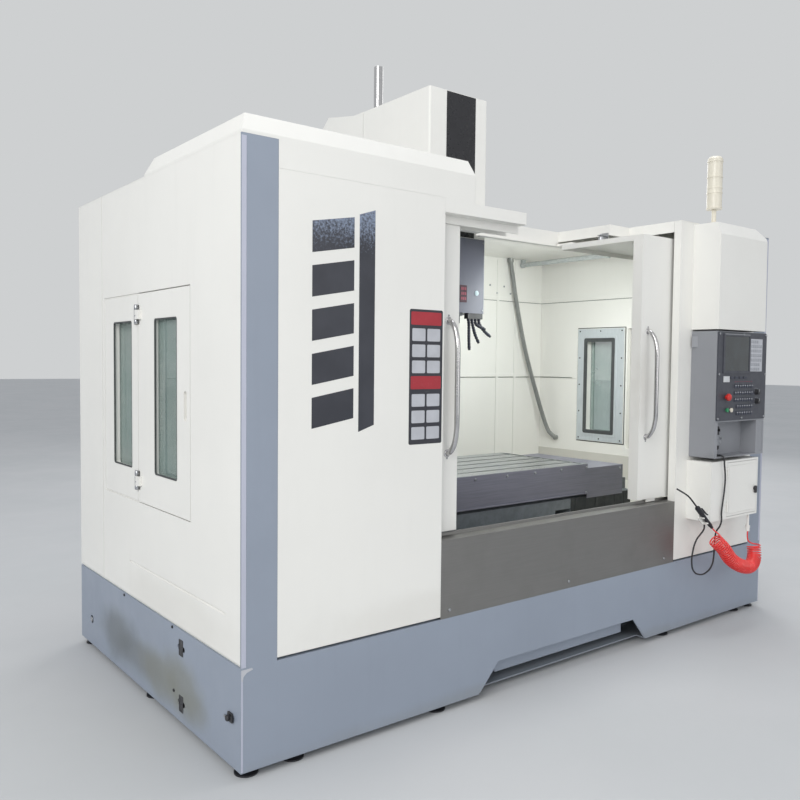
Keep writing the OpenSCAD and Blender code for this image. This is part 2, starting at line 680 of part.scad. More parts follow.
hood_x1 = -open_h + hood_reach;
cut_h = head_h + 4;
module roof() color(white) place() {
    along_z([deck_z, roof_z]) polygon([
        [-half, hood_d], [hood_x1, hood_d], [hood_x1, 725], [open_h - 180, 725], [open_h - 180, 345],
        [open_h, 345], [open_h, 0], [half, 0], [half, body_d], [cut_h, body_d], [cut_h, head_y0 - 4],
        [-cut_h, head_y0 - 4], [-cut_h, body_d], [-half, body_d]
    ]);
    // Fascia folded down round the opening
    f = [deck_z - fascia_h, deck_z + 1];
    block([hood_x1, inner], [725, 725 + sheet], f);
    block([open_h - 180, open_h - 180 + sheet], [345, 726], f);
    block([open_h - 180, open_h + sheet], [345, 345 + sheet], f);
    block([open_h, open_h + sheet], [panel_d + 1, 346], f);
    // Rear guide of the right door
    along_x([0, inner]) polygon([
        [690, guide_z - 6], [725 + sheet, guide_z - 6], [725 + sheet, deck_z - fascia_h + 1],
        [725, deck_z - fascia_h + 1], [725, guide_z], [690, guide_z]
    ]);
    // Flanged edge beside the head
    both_sides() block([cut_h, cut_h + sheet], [head_y0 - 4, back_y - 10], [deck_z - 30, deck_z + 1]);
}

canopy_z1 = roof_z - hood_drop - 5;
module left_hood() color(white) place() {
    // Raised cover with four sloped sides
    difference() {
        hood_solid(0);
        hood_solid(sheet);
    }
    // Front drop and right end
    block([-half + post_w, hood_x1], [0, sheet], [roof_z - hood_drop, deck_z + 1]);
    along_x([hood_x1 - sheet, hood_x1]) polygon([
        [0, roof_z - hood_drop], [canopy_d, roof_z - hood_drop], [canopy_d + 90, deck_z + 1], [0, deck_z + 1]
    ]);
    // Canopy box and the channel that steadies the left door
    difference() {
        block([-open_h, -open_h + canopy_w], [0, canopy_d], [canopy_z1 - canopy_t, canopy_z1]);
        block([-open_h + sheet, -open_h + canopy_w - sheet], [sheet, canopy_d - sheet],
            [canopy_z1 - canopy_t + sheet, canopy_z1 - sheet]);
    }
    block([-open_h, hood_x1], [0, sheet], [canopy_z1 - 1, roof_z - hood_drop + 1]);
    block([hood_x1 - sheet, hood_x1], [0, canopy_d], [canopy_z1 - 1, roof_z - hood_drop + 1]);
    cz = canopy_z1 - canopy_t;
    block([-inner, -open_h + canopy_w], [door_y - 8, door_y + door_t + 34], [cz, cz + sheet]);
    for (y = [door_y - 8, door_y + door_t + 30])
        block([-inner, -open_h + canopy_w], [y, y + sheet], [left_door_top - 26, cz + 1]);
}
module hood_solid(i) intersection() {
    along_y([i, hood_d - i]) polygon([
        [-half + i, deck_z - (i > 0 ? 1 : 0)], [hood_x1 - i, deck_z - (i > 0 ? 1 : 0)],
        [hood_x1 - i, roof_z + 8], [hood_x1 - hood_bevel - i, roof_z + hood_h - i],
        [-half + hood_bevel + i, roof_z + hood_h - i], [-half + i, roof_z + 8]
    ]);
    along_x([-half, hood_x1]) polygon([
        [i, deck_z - (i > 0 ? 1 : 0)], [hood_d - i, deck_z - (i > 0 ? 1 : 0)],
        [hood_d - i, roof_z + 8], [hood_d - 2 * hood_bevel - i, roof_z + hood_h - i],
        [hood_bevel + i, roof_z + hood_h - i], [i, roof_z + 8]
    ]);
}

module back_wall() color(white) place() {
    both_sides() difference() {
        along_y([back_y, body_d]) polygon([
            [-inner, skirt_z], [-column_half(0) - 4, skirt_z], [-column_half(0) - 4, way_z + 2],
            [-column_half(1) - 4, 1400], [-column_half(1) - 4, deck_z], [-inner, deck_z]
        ]);
        for (z = [1401, 1990]) block([-inner - 1, -200], [back_y - 1, back_y + 4], [z, z + 6]);
        block([-inner + 294, -inner + 300], [back_y - 1, back_y + 4], [skirt_z, deck_z + 1]);
    }
}

module column_cover() color(white) place() {
    difference() {
        along_x([-head_h, head_h]) polygon(tower(0));
        along_x([-head_h + sheet, head_h - sheet]) polygon(tower(sheet));
        block([-head_h + sheet, head_h - sheet], [tower_y0 - 1, tower_y0 + sheet + 1], [roof_z - 1, 2430]);
        // Vent slots in the back
        for (i = [0 : 9]) block([-120, 120], [tower_y1 - sheet - 1, tower_y1 + 1],
            [2520 + 32 * i, 2532 + 32 * i]);
    }
    both_sides() block([head_h - 1, head_h + 34], [tower_y0, body_d], [roof_z, roof_z + sheet]);
}
function tower(i) = [
    [tower_y0 + i, roof_z - (i > 0 ? 1 : 0)], [tower_y1 - i, roof_z - (i > 0 ? 1 : 0)],
    [tower_y1 - i, tower_z - 30 - i], [tower_y1 - 100 - i, tower_z + 53 - i],
    [tower_y0 + 95 + i, tower_z - i], [tower_y0 + i, tower_z - i]
];
module mast_tube() color(steel) place() translate([-73, tower_y0 + 42, tower_z]) {
    difference() {
        cylinder(h = mast_z - tower_z, d = mast_d);
        translate([0, 0, 10]) cylinder(h = mast_z, d = mast_d - 6);
    }
    difference() {
        cylinder(h = 6, d = mast_d + 24);
        for (a = [45 : 90 : 315]) rotate(a) translate([mast_d / 2 + 6, 0, -1]) cylinder(h = 8, d = 5);
    }
}

// Inside

light_x = half - 330;
module work_light() color([0.85, 0.88, 0.88]) place() {
    rod_y(light_x, [back_y - 820, back_y - 22], deck_z - 40, 35);
    for (y = [[back_y - 830, back_y - 806], [back_y - 36, back_y - 12]]) {
        rod_y(light_x, y, deck_z - 40, 42);
        block([light_x - 14, light_x + 14], y, [deck_z - 42, deck_z]);
    }
}

conduit_top = [inner - 380, back_y - 28, deck_z - 25];
conduit_end = [inner - 14, back_y - 180, 945];
conduit_line = [
    conduit_top, [inner - 348, back_y - 30, 2130], [inner - 321, back_y - 33, 1995],
    [inner - 247, back_y - 42, 1694], [inner - 177, back_y - 55, 1464], [inner - 119, back_y - 68, 1294],
    [inner - 77, back_y - 85, 1154], [inner - 40, back_y - 120, 1010], [inner - 26, back_y - 155, 965],
    conduit_end
];
module conduit() color(grey) place() {
    swept(conduit_line, 32, 3, 10);
    rod_z(conduit_top[0], conduit_top[1], [deck_z - 30, deck_z], 44);
    rod_x([inner - 24, inner], conduit_end[1], conduit_end[2], 36);
}

// Funnel-shaped tray from wall to wall, with the bed passing through it
module chip_pan() color(steel) place() {
    s = 4;
    difference() {
        union() {
            both_sides() along_y([130, back_y]) polygon([
                [380, pan_floor - s], [saddle_half + 50, pan_floor - s], [inner, pan_floor + 170],
                [inner, pan_floor + 340], [inner - s, pan_floor + 340], [inner - s, pan_floor + 172],
                [saddle_half + 49, pan_floor], [380, pan_floor]
            ]);
            block([-400, 400], [130, 240], [pan_floor - s, pan_floor]);
            along_y([130, 130 + s]) polygon([
                [-inner + 1, pan_floor + 200], [-inner + 1, pan_floor + 171],
                [-saddle_half - 50, pan_floor - s],
                [saddle_half + 50, pan_floor - s], [inner - 1, pan_floor + 171], [inner - 1, pan_floor + 200]
            ]);
        }
        // Strainer slots
        for (s2 = [-1, 1], i = [0 : 7]) block([s2 * 700 - 60, s2 * 700 + 60], [300 + 40 * i, 312 + 40 * i],
            [pan_floor - s - 1, pan_floor + 1]);
    }
}

module carousel_arm() color(grey) place() {
    // Beam on the back wall, arm and hub
    difference() {
        block([drum_x - 160, drum_x + 160], [back_y - 30, back_y], [drum_z + 60, drum_z + 260]);
        for (x = [-120, 120], z = [90, 230]) rod_y(drum_x + x, [back_y - 31, back_y + 1], drum_z + z, 18);
    }
    along_x([drum_x - 50, drum_x + 50]) polygon([
        [back_y - 29, drum_z + 80], [back_y - 29, drum_z + 240], [drum_y + 60, drum_z + 160],
        [drum_y - 70, drum_z + 160], [drum_y - 70, drum_z + 100], [drum_y + 90, drum_z + 100]
    ]);
    rod_z(drum_x, drum_y, [drum_z - 10, drum_z + 130], 60);
    rod_z(drum_x, drum_y, [drum_z + 62, drum_z + 130], 180);
    rod_z(drum_x, drum_y, [drum_z - 22, drum_z - 8], 90);
}
module carousel_drum() color(steel) place() translate([drum_x, drum_y, drum_z]) difference() {
    union() {
        cylinder(h = 14, d = drum_d, $fn = 96);
        cylinder(h = 61.7, d = 190);
        for (i = [0 : tools - 1]) rotate(i * 360 / tools) translate([drum_d / 2 - 60, -26, 13])
            cube([60, 52, 24]);
    }
    translate([0, 0, -1]) cylinder(h = 64, d = 60 + 2 * gap);
    translate([0, 0, -1]) cylinder(h = 1 + gap, d = 92);
    for (i = [0 : tools - 1]) rotate(i * 360 / tools) translate([drum_d / 2 - 6, 0, -1])
        cylinder(h = 50, d = 44);
    for (i = [0 : 5]) rotate(i * 60) translate([150, 0, -1]) cylinder(h = 20, d = 70);
}

// Table and saddle

module t_slot(y) {
    translate([y - slot_w / 2, table_z - 40]) square([slot_w, 41]);
    translate([y - slot_w * 0.9, table_z - 40]) square([slot_w * 1.8, 16]);
}
way_y = 230;
nut_l = 120;
module table() color(steel) place() {
    difference() {
        union() {
            difference() {
                along_x([-table_l / 2, table_l / 2]) translate([table_y, 0]) difference() {
                    polygon([
                        [-table_w / 2, table_z - 62], [-table_w / 2, table_z], [table_w / 2, table_z],
                        [table_w / 2, table_z - 62], [way_y + 78, table_z - 70],
                        [way_y + 78, table_z - table_t], [way_y - 50, table_z - table_t],
                        [way_y - 60, table_z - 66], [60 - way_y, table_z - 66],
                        [50 - way_y, table_z - table_t], [-way_y - 78, table_z - table_t],
                        [-way_y - 78, table_z - 70]
                    ]);
                    for (i = [0 : slots - 1]) t_slot((i - (slots - 1) / 2) * slot_pitch);
                }
                // Coolant gutter at both ends
                both_sides() block([table_l / 2 - 40, table_l / 2 - 16],
                    [table_y - table_w / 2 + 20, table_y + table_w / 2 - 20], [table_z - 12, table_z + 1]);
            }
            // Nut bracket
            block([-nut_l / 2, nut_l / 2], [table_y - 55, table_y + 55], [x_screw_z - 34, table_z - 65]);
        }
        rod_x([-nut_l, nut_l], table_y, x_screw_z, screw_d + 2 * gap);
    }
}

cover_y0 = table_y - table_w / 2;
module table_covers() color([0.42, 0.43, 0.46]) place() {
    c = [cover_y0, cover_y0 + table_w - 7];
    x = [table_l / 2, table_l / 2 + end_cover_l];
    both_sides() {
        // Folded end cover with a deep front apron
        block(x, c, [table_z - 31, table_z - 27]);
        block([x[1] - sheet, x[1]], c, [table_z - 62, table_z - 28]);
        block(x, [c[1] - sheet, c[1]], [table_z - 62, table_z - 28]);
        block(x, [c[0] - 4, c[0]], [table_z - 205, table_z - 27]);
        block([x[0], x[0] + sheet], c, [table_z - 60, table_z - 28]);
    }
    // Front cover with a folded lower edge
    block([-table_l / 2 - 1, table_l / 2 + 1], [cover_y0 - 4, cover_y0], [table_z - 176, table_z - 2]);
    block([-table_l / 2, table_l / 2], [cover_y0 - 16, cover_y0 - 3], [table_z - 176, table_z - 172]);
}

saddle_y0 = table_y - table_w / 2 + 3;
saddle_y1 = table_y + table_w / 2 - 3;
module saddle() color(iron) place() {
    difference() {
        union() {
            along_x([-saddle_half, saddle_half]) polygon([
                [saddle_y0, way_z + 34], [saddle_y0, way_z + 91], [table_y - way_y - 78, way_z + 100],
                [table_y - way_y - 78, saddle_top], [table_y - way_y + 50, saddle_top],
                [table_y - way_y + 60, way_z + 70], [table_y + way_y - 60, way_z + 70],
                [table_y + way_y - 50, saddle_top], [table_y + way_y + 78, saddle_top],
                [table_y + way_y + 78, way_z + 100], [saddle_y1, way_z + 91], [saddle_y1, way_z + 34]
            ]);
            // Seat on the bed ways, with the gibs outside them
            difference() {
                block([-430, 430], [saddle_y0, saddle_y1], [way_z - 34, way_z + 36]);
                block([-360 - gap, 360 + gap], [saddle_y0 - 1, saddle_y1 + 1], [way_z - 36, way_z + gap]);
                block([-386, 386], [saddle_y0 - 1, saddle_y1 + 1], [way_z - 70, way_z - 30]);
            }
            // Covers at the wing ends
            both_sides() block([563, saddle_half], [saddle_y0, saddle_y1], [way_z - 54, way_z + 91]);
            block([-60, 60], [table_y - 60, table_y + 60], [y_screw_z - 34, way_z + 36]);
            // Screw bearings
            both_sides() block([saddle_half - 190, saddle_half - 120], [table_y - 60, table_y + 60],
                [way_z + 60, saddle_top - 4]);
        }
        // Way for the table's nut over the wing covers
        both_sides() block([540, saddle_half - 191], [table_y - 62, table_y + 62], [way_z + 70, way_z + 92]);
        rod_y(0, [table_y - 80, table_y + 80], y_screw_z, screw_d + 2 * gap);
        rod_x([-saddle_half + 100, saddle_half - 100], table_y, x_screw_z, screw_d * 0.7 + 2 * gap);
    }
    // Axis motor at the right end
    block([saddle_half - 119, saddle_half - 6], [table_y - 70, table_y + 70], [way_z + 60, saddle_top]);
}

module screw(l, end) {
    cylinder(h = l, d = screw_d);
    translate([0, 0, -end]) cylinder(h = l + 2 * end, d = screw_d * 0.7);
}
x_screw_half = saddle_half - 190 - gap;
y_screw_y0 = 530 + gap;
y_screw_y1 = column_y - 20 - gap;
module x_screw() color(steel) place() translate([-x_screw_half, table_y, x_screw_z]) rotate([0, 90, 0])
    screw(2 * x_screw_half, 69);
module y_screw() color(steel) place() translate([0, y_screw_y1, y_screw_z]) rotate([90, 0, 0])
    screw(y_screw_y1 - y_screw_y0, 59);
module z_screw() color(steel) place() translate([0, z_screw_y, 1000 + gap])
    screw(1820 - 2 * gap, 39);

// Head

carriage_z = [1750, 2286];
nose_d = spindle_d + 41;
module head_casting() color(iron) place() {
    difference() {
        union() {
            // Nose, barrel and the beam back to the column
            rod_z(0, spindle_y, [nose_z + 25, head_z1 + 20], nose_d);
            rod_z(0, spindle_y, [head_z0 - 14, head_z0], nose_d + 30);
            along_x([-150, 150]) polygon([
                [spindle_y - 40, head_z0 + 30], [tower_y0 + 100, carriage_z[0]],
                [tower_y0 + 100, carriage_z[1]], [tower_y0 - 60, head_z1 - 8], [spindle_y - 40, head_z1 - 8]
            ]);
            block([-205, 205], [column_y - 112, column_y - 40 - gap], carriage_z);
            both_sides() block([180 + gap, 205], [column_y - 42, column_y - 8], carriage_z);
            block([-60, 60], [column_y - 42, z_screw_y + 34], [1930, 2050]);
            // Spindle motor
            rod_z(0, spindle_y, [head_z1 + 18, head_z1 + 50], 2 * (spindle_y - head_y0 - sheet - 3));
            along_z([head_z1 + 49, head_z1 + 460]) translate([0, spindle_y]) square(190, center = true);
        }
        rod_z(0, spindle_y, [nose_z, nose_z + 220], spindle_d + 1);
        rod_z(0, z_screw_y, [1900, 2100], screw_d + 2 * gap);
        // Core pockets in the beam
        for (s = [-1, 1]) translate([s * 150, 0, 0]) along_x([-60, 60])
            soft_rect([1180, 1400], [1930, 2130], 30);
    }
}
module head_cover() color([0.36, 0.39, 0.45]) place() difference() {
    along_z([head_z0, head_z1]) union() {
        soft_rect([-head_h, head_h], [head_y0, head_y1], 12);
        square_at([-head_h, head_h], [head_y1 - 40, head_y1]);
    }
    block([-head_h + sheet, head_h - sheet], [head_y0 + sheet, head_y1 + 1], [head_z0 + sheet, head_z1 + 1]);
    rod_z(0, spindle_y, [head_z0 - 1, head_z0 + sheet + 1], nose_d + 4);
    block([-152, 152], [spindle_y + 130, head_y1 + 1], [head_z0 - 1, head_z0 + sheet + 1]);
}
module motor_cover() color(white) place() difference() {
    along_z([head_z1, head_z2]) union() {
        soft_rect([-head_h, head_h], [head_y0, head_y1], 12);
        square_at([-head_h, head_h], [head_y1 - 40, head_y1]);
    }
    block([-head_h + sheet, head_h - sheet], [head_y0 + sheet, head_y1 - sheet],
        [head_z1 - 1, head_z2 - sheet]);
    block([-head_h + sheet, head_h - sheet], [head_y1 - sheet - 1, head_y1 + 1],
        [head_z1 - 1, head_z1 + 140]);
    // Shallow panel down the front
    block([-94, 126], [head_y0 - 1, head_y0 + 1.5], [head_z1 + 30, head_z2 - 30]);
}
module spindle() color(steel) place() translate([0, spindle_y, nose_z]) {
    difference() {
        union() {
            cylinder(h = 220 - gap, d = spindle_d);
            translate([0, 0, 0]) cylinder(h = 24, d = spindle_d + 8);
        }
        // Taper, its straight passage and the drive key seats
        translate([0, 0, -1]) cylinder(h = 66, d1 = 44.6, d2 = 25.4);
        cylinder(h = 150, d = 25);
    }
    for (s = [-1, 1]) block([s * 34 - 9, s * 34 + 9], [-8, 8], [-7, 1]);
}
module nozzles() color(dark) place() {
    block([90, 206], [head_y0 + 2, head_y0 + 34], [head_z0 - 32, head_z0]);
    starts = [[190, 272, 1670], [162, 228, 1712], [134, 178, 1630], [106, 104, 1588]];
    for (n = starts) swept([
        [n[0], head_y0 + 18, head_z0 - 31], [n[0] + 3, head_y0 + 14, head_z0 - 60],
        [lerp(n[0], n[1], 0.45), head_y0 + 8, lerp(head_z0 - 60, n[2], 0.55)],
        [n[1], head_y0 + 2, n[2]]
    ], 15, 3, 8);
}

// Console

seats = [[cab_x + 95, 1339, 20], [cab_x + 100, 1267, 14], [cab_x + 142, 1266, 14],
    [cab_x + 417, 1363, 10], [cab_x + 421, 1310, 10]];
module control_cabinet() color(grey) place() difference() {
    union() {
        along_y([-cab_d, 0]) soft_rect([cab_x, cab_x1], [cab_z0, cab_z1], 6);
        along_z([cab_z1 - 91, cab_z1 - 29]) polygon([[cab_x + 1, -8], [cab_x + 1, -40], [cab_x - 14, -10]]);
    }
    // Recess for the pendant, with a shelf
    block([cab_x + 29, cab_x + 439], [-cab_d - 1, recess_y], [recess_z, recess_z + recess_h]);
    block([cab_x + 470, cab_x1 - 12], [-cab_d - 1, -cab_d + 3], [recess_z + 10, recess_z + recess_h - 10]);
    for (s = seats) rod_y(s[0], [-cab_d - 1, -cab_d + 25], s[1], s[2] + 2 * gap);
}
module key(x, z, w, h) block([x, x + w], [-cab_d - panel_t - 4, -cab_d - panel_t + 1], [z, z + h]);
module control_panel() color(dark) place() {
    difference() {
        along_y([-cab_d - panel_t, -cab_d]) soft_rect([cab_x + 4, cab_x1 - 4], [bezel_z, cab_z1 - 4], 10);
        for (s = seats) rod_y(s[0], [-cab_d - panel_t - 1, -cab_d + 1], s[1], s[2] + 2 * gap);
    }
    // Frame round the screen
    difference() {
        along_y([-cab_d - panel_t - 5, -cab_d - panel_t + 1])
            soft_rect([screen_x - 14, screen_x + screen_w + 14],
                [screen_z - 14, screen_z + screen_h + 14], 8);
        block([screen_x - gap, screen_x + screen_w + gap], [-cab_d - panel_t - 9, -cab_d - panel_t],
            [screen_z - gap, screen_z + screen_h + gap]);
    }
    // Keys beside the screen and rows of operator keys
    for (i = [0 : 5], j = [0 : 6]) key(cab_x + 340 + 20.5 * i, screen_z + 3 + 26 * j, 15, 17);
    for (i = [0 : 4]) key(screen_x + 18 + 46 * i, screen_z - 44, 32, 14);
    for (i = [0 : 7], j = [0 : 4]) if (i > 0 || j > 1) key(cab_x + 178 + 25 * i, bezel_z + 28 + 38 * j,
        19, 22);
    key(cab_x + 80, 1423, 24, 24);
    // Cap screws at the corners and the middles
    for (x = [cab_x + 16, cab_x + cab_w / 2, cab_x1 - 16], z = [bezel_z + 12, cab_z1 - 16])
        rod_y(x, [-cab_d - panel_t - 3, -cab_d - panel_t + 1], z, 12);
}
screen_x = cab_x + 68;
screen_z = cab_z1 - 221;
module screen() color([0.06, 0.07, 0.09]) place()
    block([screen_x, screen_x + screen_w], [-cab_d - panel_t - 3, -cab_d - panel_t],
        [screen_z, screen_z + screen_h]);
travel = 5;
// Cap on a stem that runs in a hole of the panel
module capped(seat, y, h, cap_d) {
    rod_y(seat[0], [y, -cab_d + 18], seat[1], seat[2]);
    rod_y(seat[0], [y - h, y], seat[1], cap_d);
}
face = -cab_d - panel_t - gap;
module e_stop() color([0.80, 0.08, 0.06]) place() {
    capped(seats[0], face - travel, 8, estop_d * 0.6);
    translate([seats[0][0], face - travel - 7, seats[0][1]]) rotate([90, 0, 0]) rotate_extrude() polygon([
        [0, 0], [estop_d / 2, 0], [estop_d / 2, 9], [estop_d / 2 - 4, 14], [estop_d / 4, estop_h - 13],
        [0, estop_h - 12.3]
    ]);
}
module start_button() color([0.10, 0.55, 0.25]) place() capped(seats[1], face - travel, 6, button_d);
module hold_button() color([0.90, 0.90, 0.86]) place() capped(seats[2], face - travel, 6, button_d);
module knob_shape(seat) difference() {
    union() {
        capped(seat, face, 4, knob_d);
        translate([seat[0], face - 3, seat[1]]) rotate([90, 0, 0]) cylinder(h = 17, d = knob_d - 6);
    }
    block([seat[0] - 1, seat[0] + 1], [face - 21, face - 18], [seat[1], seat[1] + knob_d / 2]);
    for (i = [0 : 11]) translate([seat[0], 0, seat[1]]) rotate([0, i * 30, 0])
        rod_y(knob_d / 2 - 2.4, [face - 22, face - 5], 0, 2.6);
}
module feed_knob() color(dark) place() knob_shape(seats[3]);
module speed_knob() color(dark) place() knob_shape(seats[4]);

pend_x = cab_x + 92;
pend_z = recess_z + 92;
pend_y = recess_y - 46;
// Where the cable leaves the pendant, and points along its way out
lead_root = [pend_x - 12, pend_y + 12, pend_z - 68];
function lead_at(d) = lead_root + d * [0, -0.755, -0.656];
module pendant() color(dark) place() {
    difference() {
        along_y([pend_y, recess_y]) soft_rect([pend_x - 40, pend_x + 40], [pend_z - 58, pend_z + 74], 12);
        block([pend_x - 32, pend_x + 32], [pend_y - 1, pend_y + 2], [pend_z - 52, pend_z - 36]);
        rod_y(pend_x, [pend_y - 1, pend_y + 14], pend_z, 16 + 2 * gap);
    }
    // Selector knobs and the strain relief
    for (s = [-1, 1]) {
        rod_y(pend_x + s * 20, [pend_y - 12, pend_y + 1], pend_z + 54, 16);
        block([pend_x + s * 20 - 2, pend_x + s * 20 + 2], [pend_y - 16, pend_y], [pend_z + 46, pend_z + 62]);
    }
    rod_z(pend_x - 12, pend_y + 12, [pend_z - 70, pend_z - 56], 14);
    translate(lead_root) rotate([-49, 0, 0]) translate([0, 0, -8]) cylinder(h = 10, d = 13);
}
module pendant_dial() color(steel) place() {
    difference() {
        union() {
            rod_y(pend_x, [pend_y - 18, pend_y - gap], pend_z - 2, 60);
            rod_y(pend_x, [pend_y - 1, pend_y + 12], pend_z, 16);
        }
        for (i = [0 : 23]) translate([pend_x, 0, pend_z - 2]) rotate([0, i * 15, 0])
            rod_y(30.6, [pend_y - 19, pend_y + 1], 0, 3);
        rod_y(pend_x, [pend_y - 19, pend_y - 16], pend_z - 2, 44);
    }
    rod_y(pend_x + 15, [pend_y - 32, pend_y - 15], pend_z + 8, 11);
}

module locker_door() color(white) place() {
    difference() {
        block([ldoor_x0, ldoor_x1], [-locker_d, -locker_d + 18], [locker_z0 + 14, locker_z1 - 14]);
        block([ldoor_x0 + 3, ldoor_x1 - 3], [-locker_d + 3, -locker_d + 19],
            [locker_z0 + 17, locker_z1 - 17]);
        rod_y(ldoor_x1 - 22, [-locker_d - 1, -locker_d + 4], latch_z, 20 + 2 * gap);
    }
    for (z = ldoor_hinge_zs) difference() {
        union() {
            rod_z(ldoor_x0 - 1, -locker_d - 4, [z + 14 + gap, z + 40 - gap], 8);
            block([ldoor_x0 - 1, ldoor_x0 + 13], [-locker_d - 2, -locker_d + 1],
                [z + 14 + gap, z + 40 - gap]);
        }
        rod_z(ldoor_x0 - 1, -locker_d - 4, [z, z + 54], 4 + 2 * gap);
    }
    // Pressed border
    difference() {
        block([ldoor_x0 + 14, ldoor_x1 - 14], [-locker_d - 1.5, -locker_d + 1],
            [locker_z0 + 28, locker_z1 - 28]);
        block([ldoor_x0 + 18, ldoor_x1 - 60], [-locker_d - 2, -locker_d + 2],
            [locker_z0 + 32, locker_z1 - 32]);
        block([ldoor_x1 - 62, ldoor_x1 - 8], [-locker_d - 2, -locker_d + 2],
            [locker_z0 + 32, locker_z1 - 32]);
    }
}
latch_z = locker_z0 + 151;
module locker_latch() color(dark) place() {
    rod_y(ldoor_x1 - 22, [-locker_d - 6, -locker_d + 12], latch_z, 20);
    along_y([-locker_d - 14, -locker_d - 5]) soft_rect([ldoor_x1 - 31, ldoor_x1 - 13],
        [latch_z - 26, latch_z + 16], 6);
    block([ldoor_x1 - 28, ldoor_x1 - 16], [-locker_d + 8, -locker_d + 12], [latch_z - 30, latch_z + 8]);
}

module signal_tower() color([0.90, 0.86, 0.70]) place() translate([cab_x + 57, -80, visor_z1]) {
    rotate_extrude() polygon([
        [0, 0], [40, 0], [40, 5], [14, 9], [12.5, 14], [12.5, 80], [lamp_d / 2 - 6, 80], [lamp_d / 2, 86],
        [lamp_d / 2, 90], [lamp_d / 2 - 2, 92], [lamp_d / 2 - 2, 96 + lamp_h / 3],
        [lamp_d / 2, 98 + lamp_h / 3], [lamp_d / 2, 102 + lamp_h / 3], [lamp_d / 2 - 2, 104 + lamp_h / 3],
        [lamp_d / 2 - 2, 70 + lamp_h], [lamp_d / 2 - 12, 81 + lamp_h], [0, 81 + lamp_h]
    ]);
}

// Blow gun; its nozzle points up to the left
gun_line = [
    gun_root + [-195, 0, 120], gun_root + [-125, 0, 90], gun_root + [-80, 0, 66],
    gun_root + [-25, 0, 22], gun_root + [3, 0, -3]
];
trigger_pin = [-8, 30];
module air_gun() color(dark) place() {
    swept(gun_line, 9, 3, 8);
    translate(gun_root) rotate([0, gun_tilt, 0]) {
        difference() {
            union() {
                cylinder(h = 60, d = 28);
                translate([0, 0, -10]) cylinder(h = 11, d1 = 14, d2 = 24);
                translate([0, 0, 58]) cylinder(h = gun_len - 78, d = 22);
                translate([0, 0, gun_len - 22]) cylinder(h = 22, d = 17);
            }
            translate([-16, -4.4, 22]) cube([16, 8.8, 26]);
        }
        translate([trigger_pin[0], 5, trigger_pin[1]]) rotate([90, 0, 0]) cylinder(h = 10, d = 4);
    }
}
module gun_trigger() color([0.35, 0.36, 0.38]) place() translate(gun_root) rotate([0, gun_tilt, 0])
    rotate([90, 0, 0]) linear_extrude(8, center = true) difference() {
        union() {
            polygon([[-13, 28], [-6, 34], [-18, 42], [-22, 96], [-26, 110], [-31, 108], [-27, 94],
                [-24, 36]]);
            translate(trigger_pin) circle(5);
        }
        translate(trigger_pin) circle(2 + gap);
    }

function gun_tail(d) = [gun_axis(gun_len + d)[0], gun_y, gun_axis(gun_len + d)[1]];
hose_line = [
    gun_tail(0.5), gun_tail(14), gun_tail(40), [1048, -186, 512], [1110, -196, 440], [1200, -200, 392],
    [1290, -197, 368], [1352, -190, 374], [1396, -178, 404], [1412, -163, 450],
    for (d = [44, 22, 0.5]) [fitting[0], fitting[1], fitting[2] - d]
];
module air_hose() color([0.85, 0.10, 0.07]) place() swept(hose_line, 70, 3, 10);

cable_line = [
    lead_at(8.5), lead_at(14), [1065.5, -113, 1014.6], [1066, -124, 1013.6], [1066, -136, 1014],
    [1066.5, -146, 1014], [1067, -157, 1011], [1068, -165.1, 1003], [1069, -168, 992], [1071, -169, 968],
    [1088, -166, 890], [1090, -162, 820], [1078, -160, 740], [1070, -160, 690], [1072, -160, 650],
    [1076, -150, 618], [1084, -124, 580], [1089, -112, 520], [1090, -110, 450], [1070, -110, 385],
    [1020, -106, 352], [960, -102, 350], [905, -100, 378], [885, -100, 425], [893, -100, 490],
    [922, -100, 545], [962, -100, 574], [990, -100, 592],
    for (d = [42, 32, 22.5]) [locker_x0 + 29, -100, locker_z0 - d]
];
module pendant_cable() color([0.12, 0.12, 0.13]) place() swept(cable_line, 9, 3, 8);

// Rear cabinet

elec_x1 = elec_x + elec_w;
elec_hinge_zs = [elec_z0 + 160, (elec_z0 + elec_z1) / 2 - 50, elec_z1 - 260];
module electrical_cabinet() color(white) place() {
    difference() {
        block([elec_x, elec_x1], [body_d, body_d + elec_d], [elec_z0, elec_z1]);
        block([elec_x + sheet, elec_x1 - sheet], [body_d + sheet, body_d + elec_d + 1],
            [elec_z0 + sheet, elec_z1 - sheet]);
        rod_z(elec_x + 120, body_d + 120, [elec_z0 - 1, elec_z0 + sheet + 1], 36);
    }
    // Fixed knuckles of the door's hinges
    for (z = elec_hinge_zs, k = [0, 70]) {
        rod_z(elec_x1 + 8, body_d + elec_d + cab_door_t - 6, [z + k, z + k + 30], 16);
        block([elec_x1 - 1, elec_x1 + 8], [body_d + elec_d - 60, body_d + elec_d + cab_door_t - 6],
            [z + k, z + k + 30]);
    }
    for (z = elec_hinge_zs) rod_z(elec_x1 + 8, body_d + elec_d + cab_door_t - 6, [z, z + 100], 8);
    // Door stop all round, mounting plate and gland
    difference() {
        block([elec_x + 1, elec_x1 - 1], [body_d + elec_d - 40, body_d + elec_d - 36],
            [elec_z0 + 1, elec_z1 - 1]);
        block([elec_x + 30, elec_x1 - 30], [body_d + elec_d - 41, body_d + elec_d - 35],
            [elec_z0 + 30, elec_z1 - 30]);
    }
    block([elec_x + 60, elec_x1 - 60], [body_d + sheet - 1, body_d + 20], [elec_z0 + 60, elec_z1 - 60]);
    difference() {
        rod_z(elec_x + 120, body_d + 120, [elec_z0 - 30, elec_z0 + 8], 52);
        rod_z(elec_x + 120, body_d + 120, [elec_z0 - 31, elec_z0 + 9], 36);
    }
}
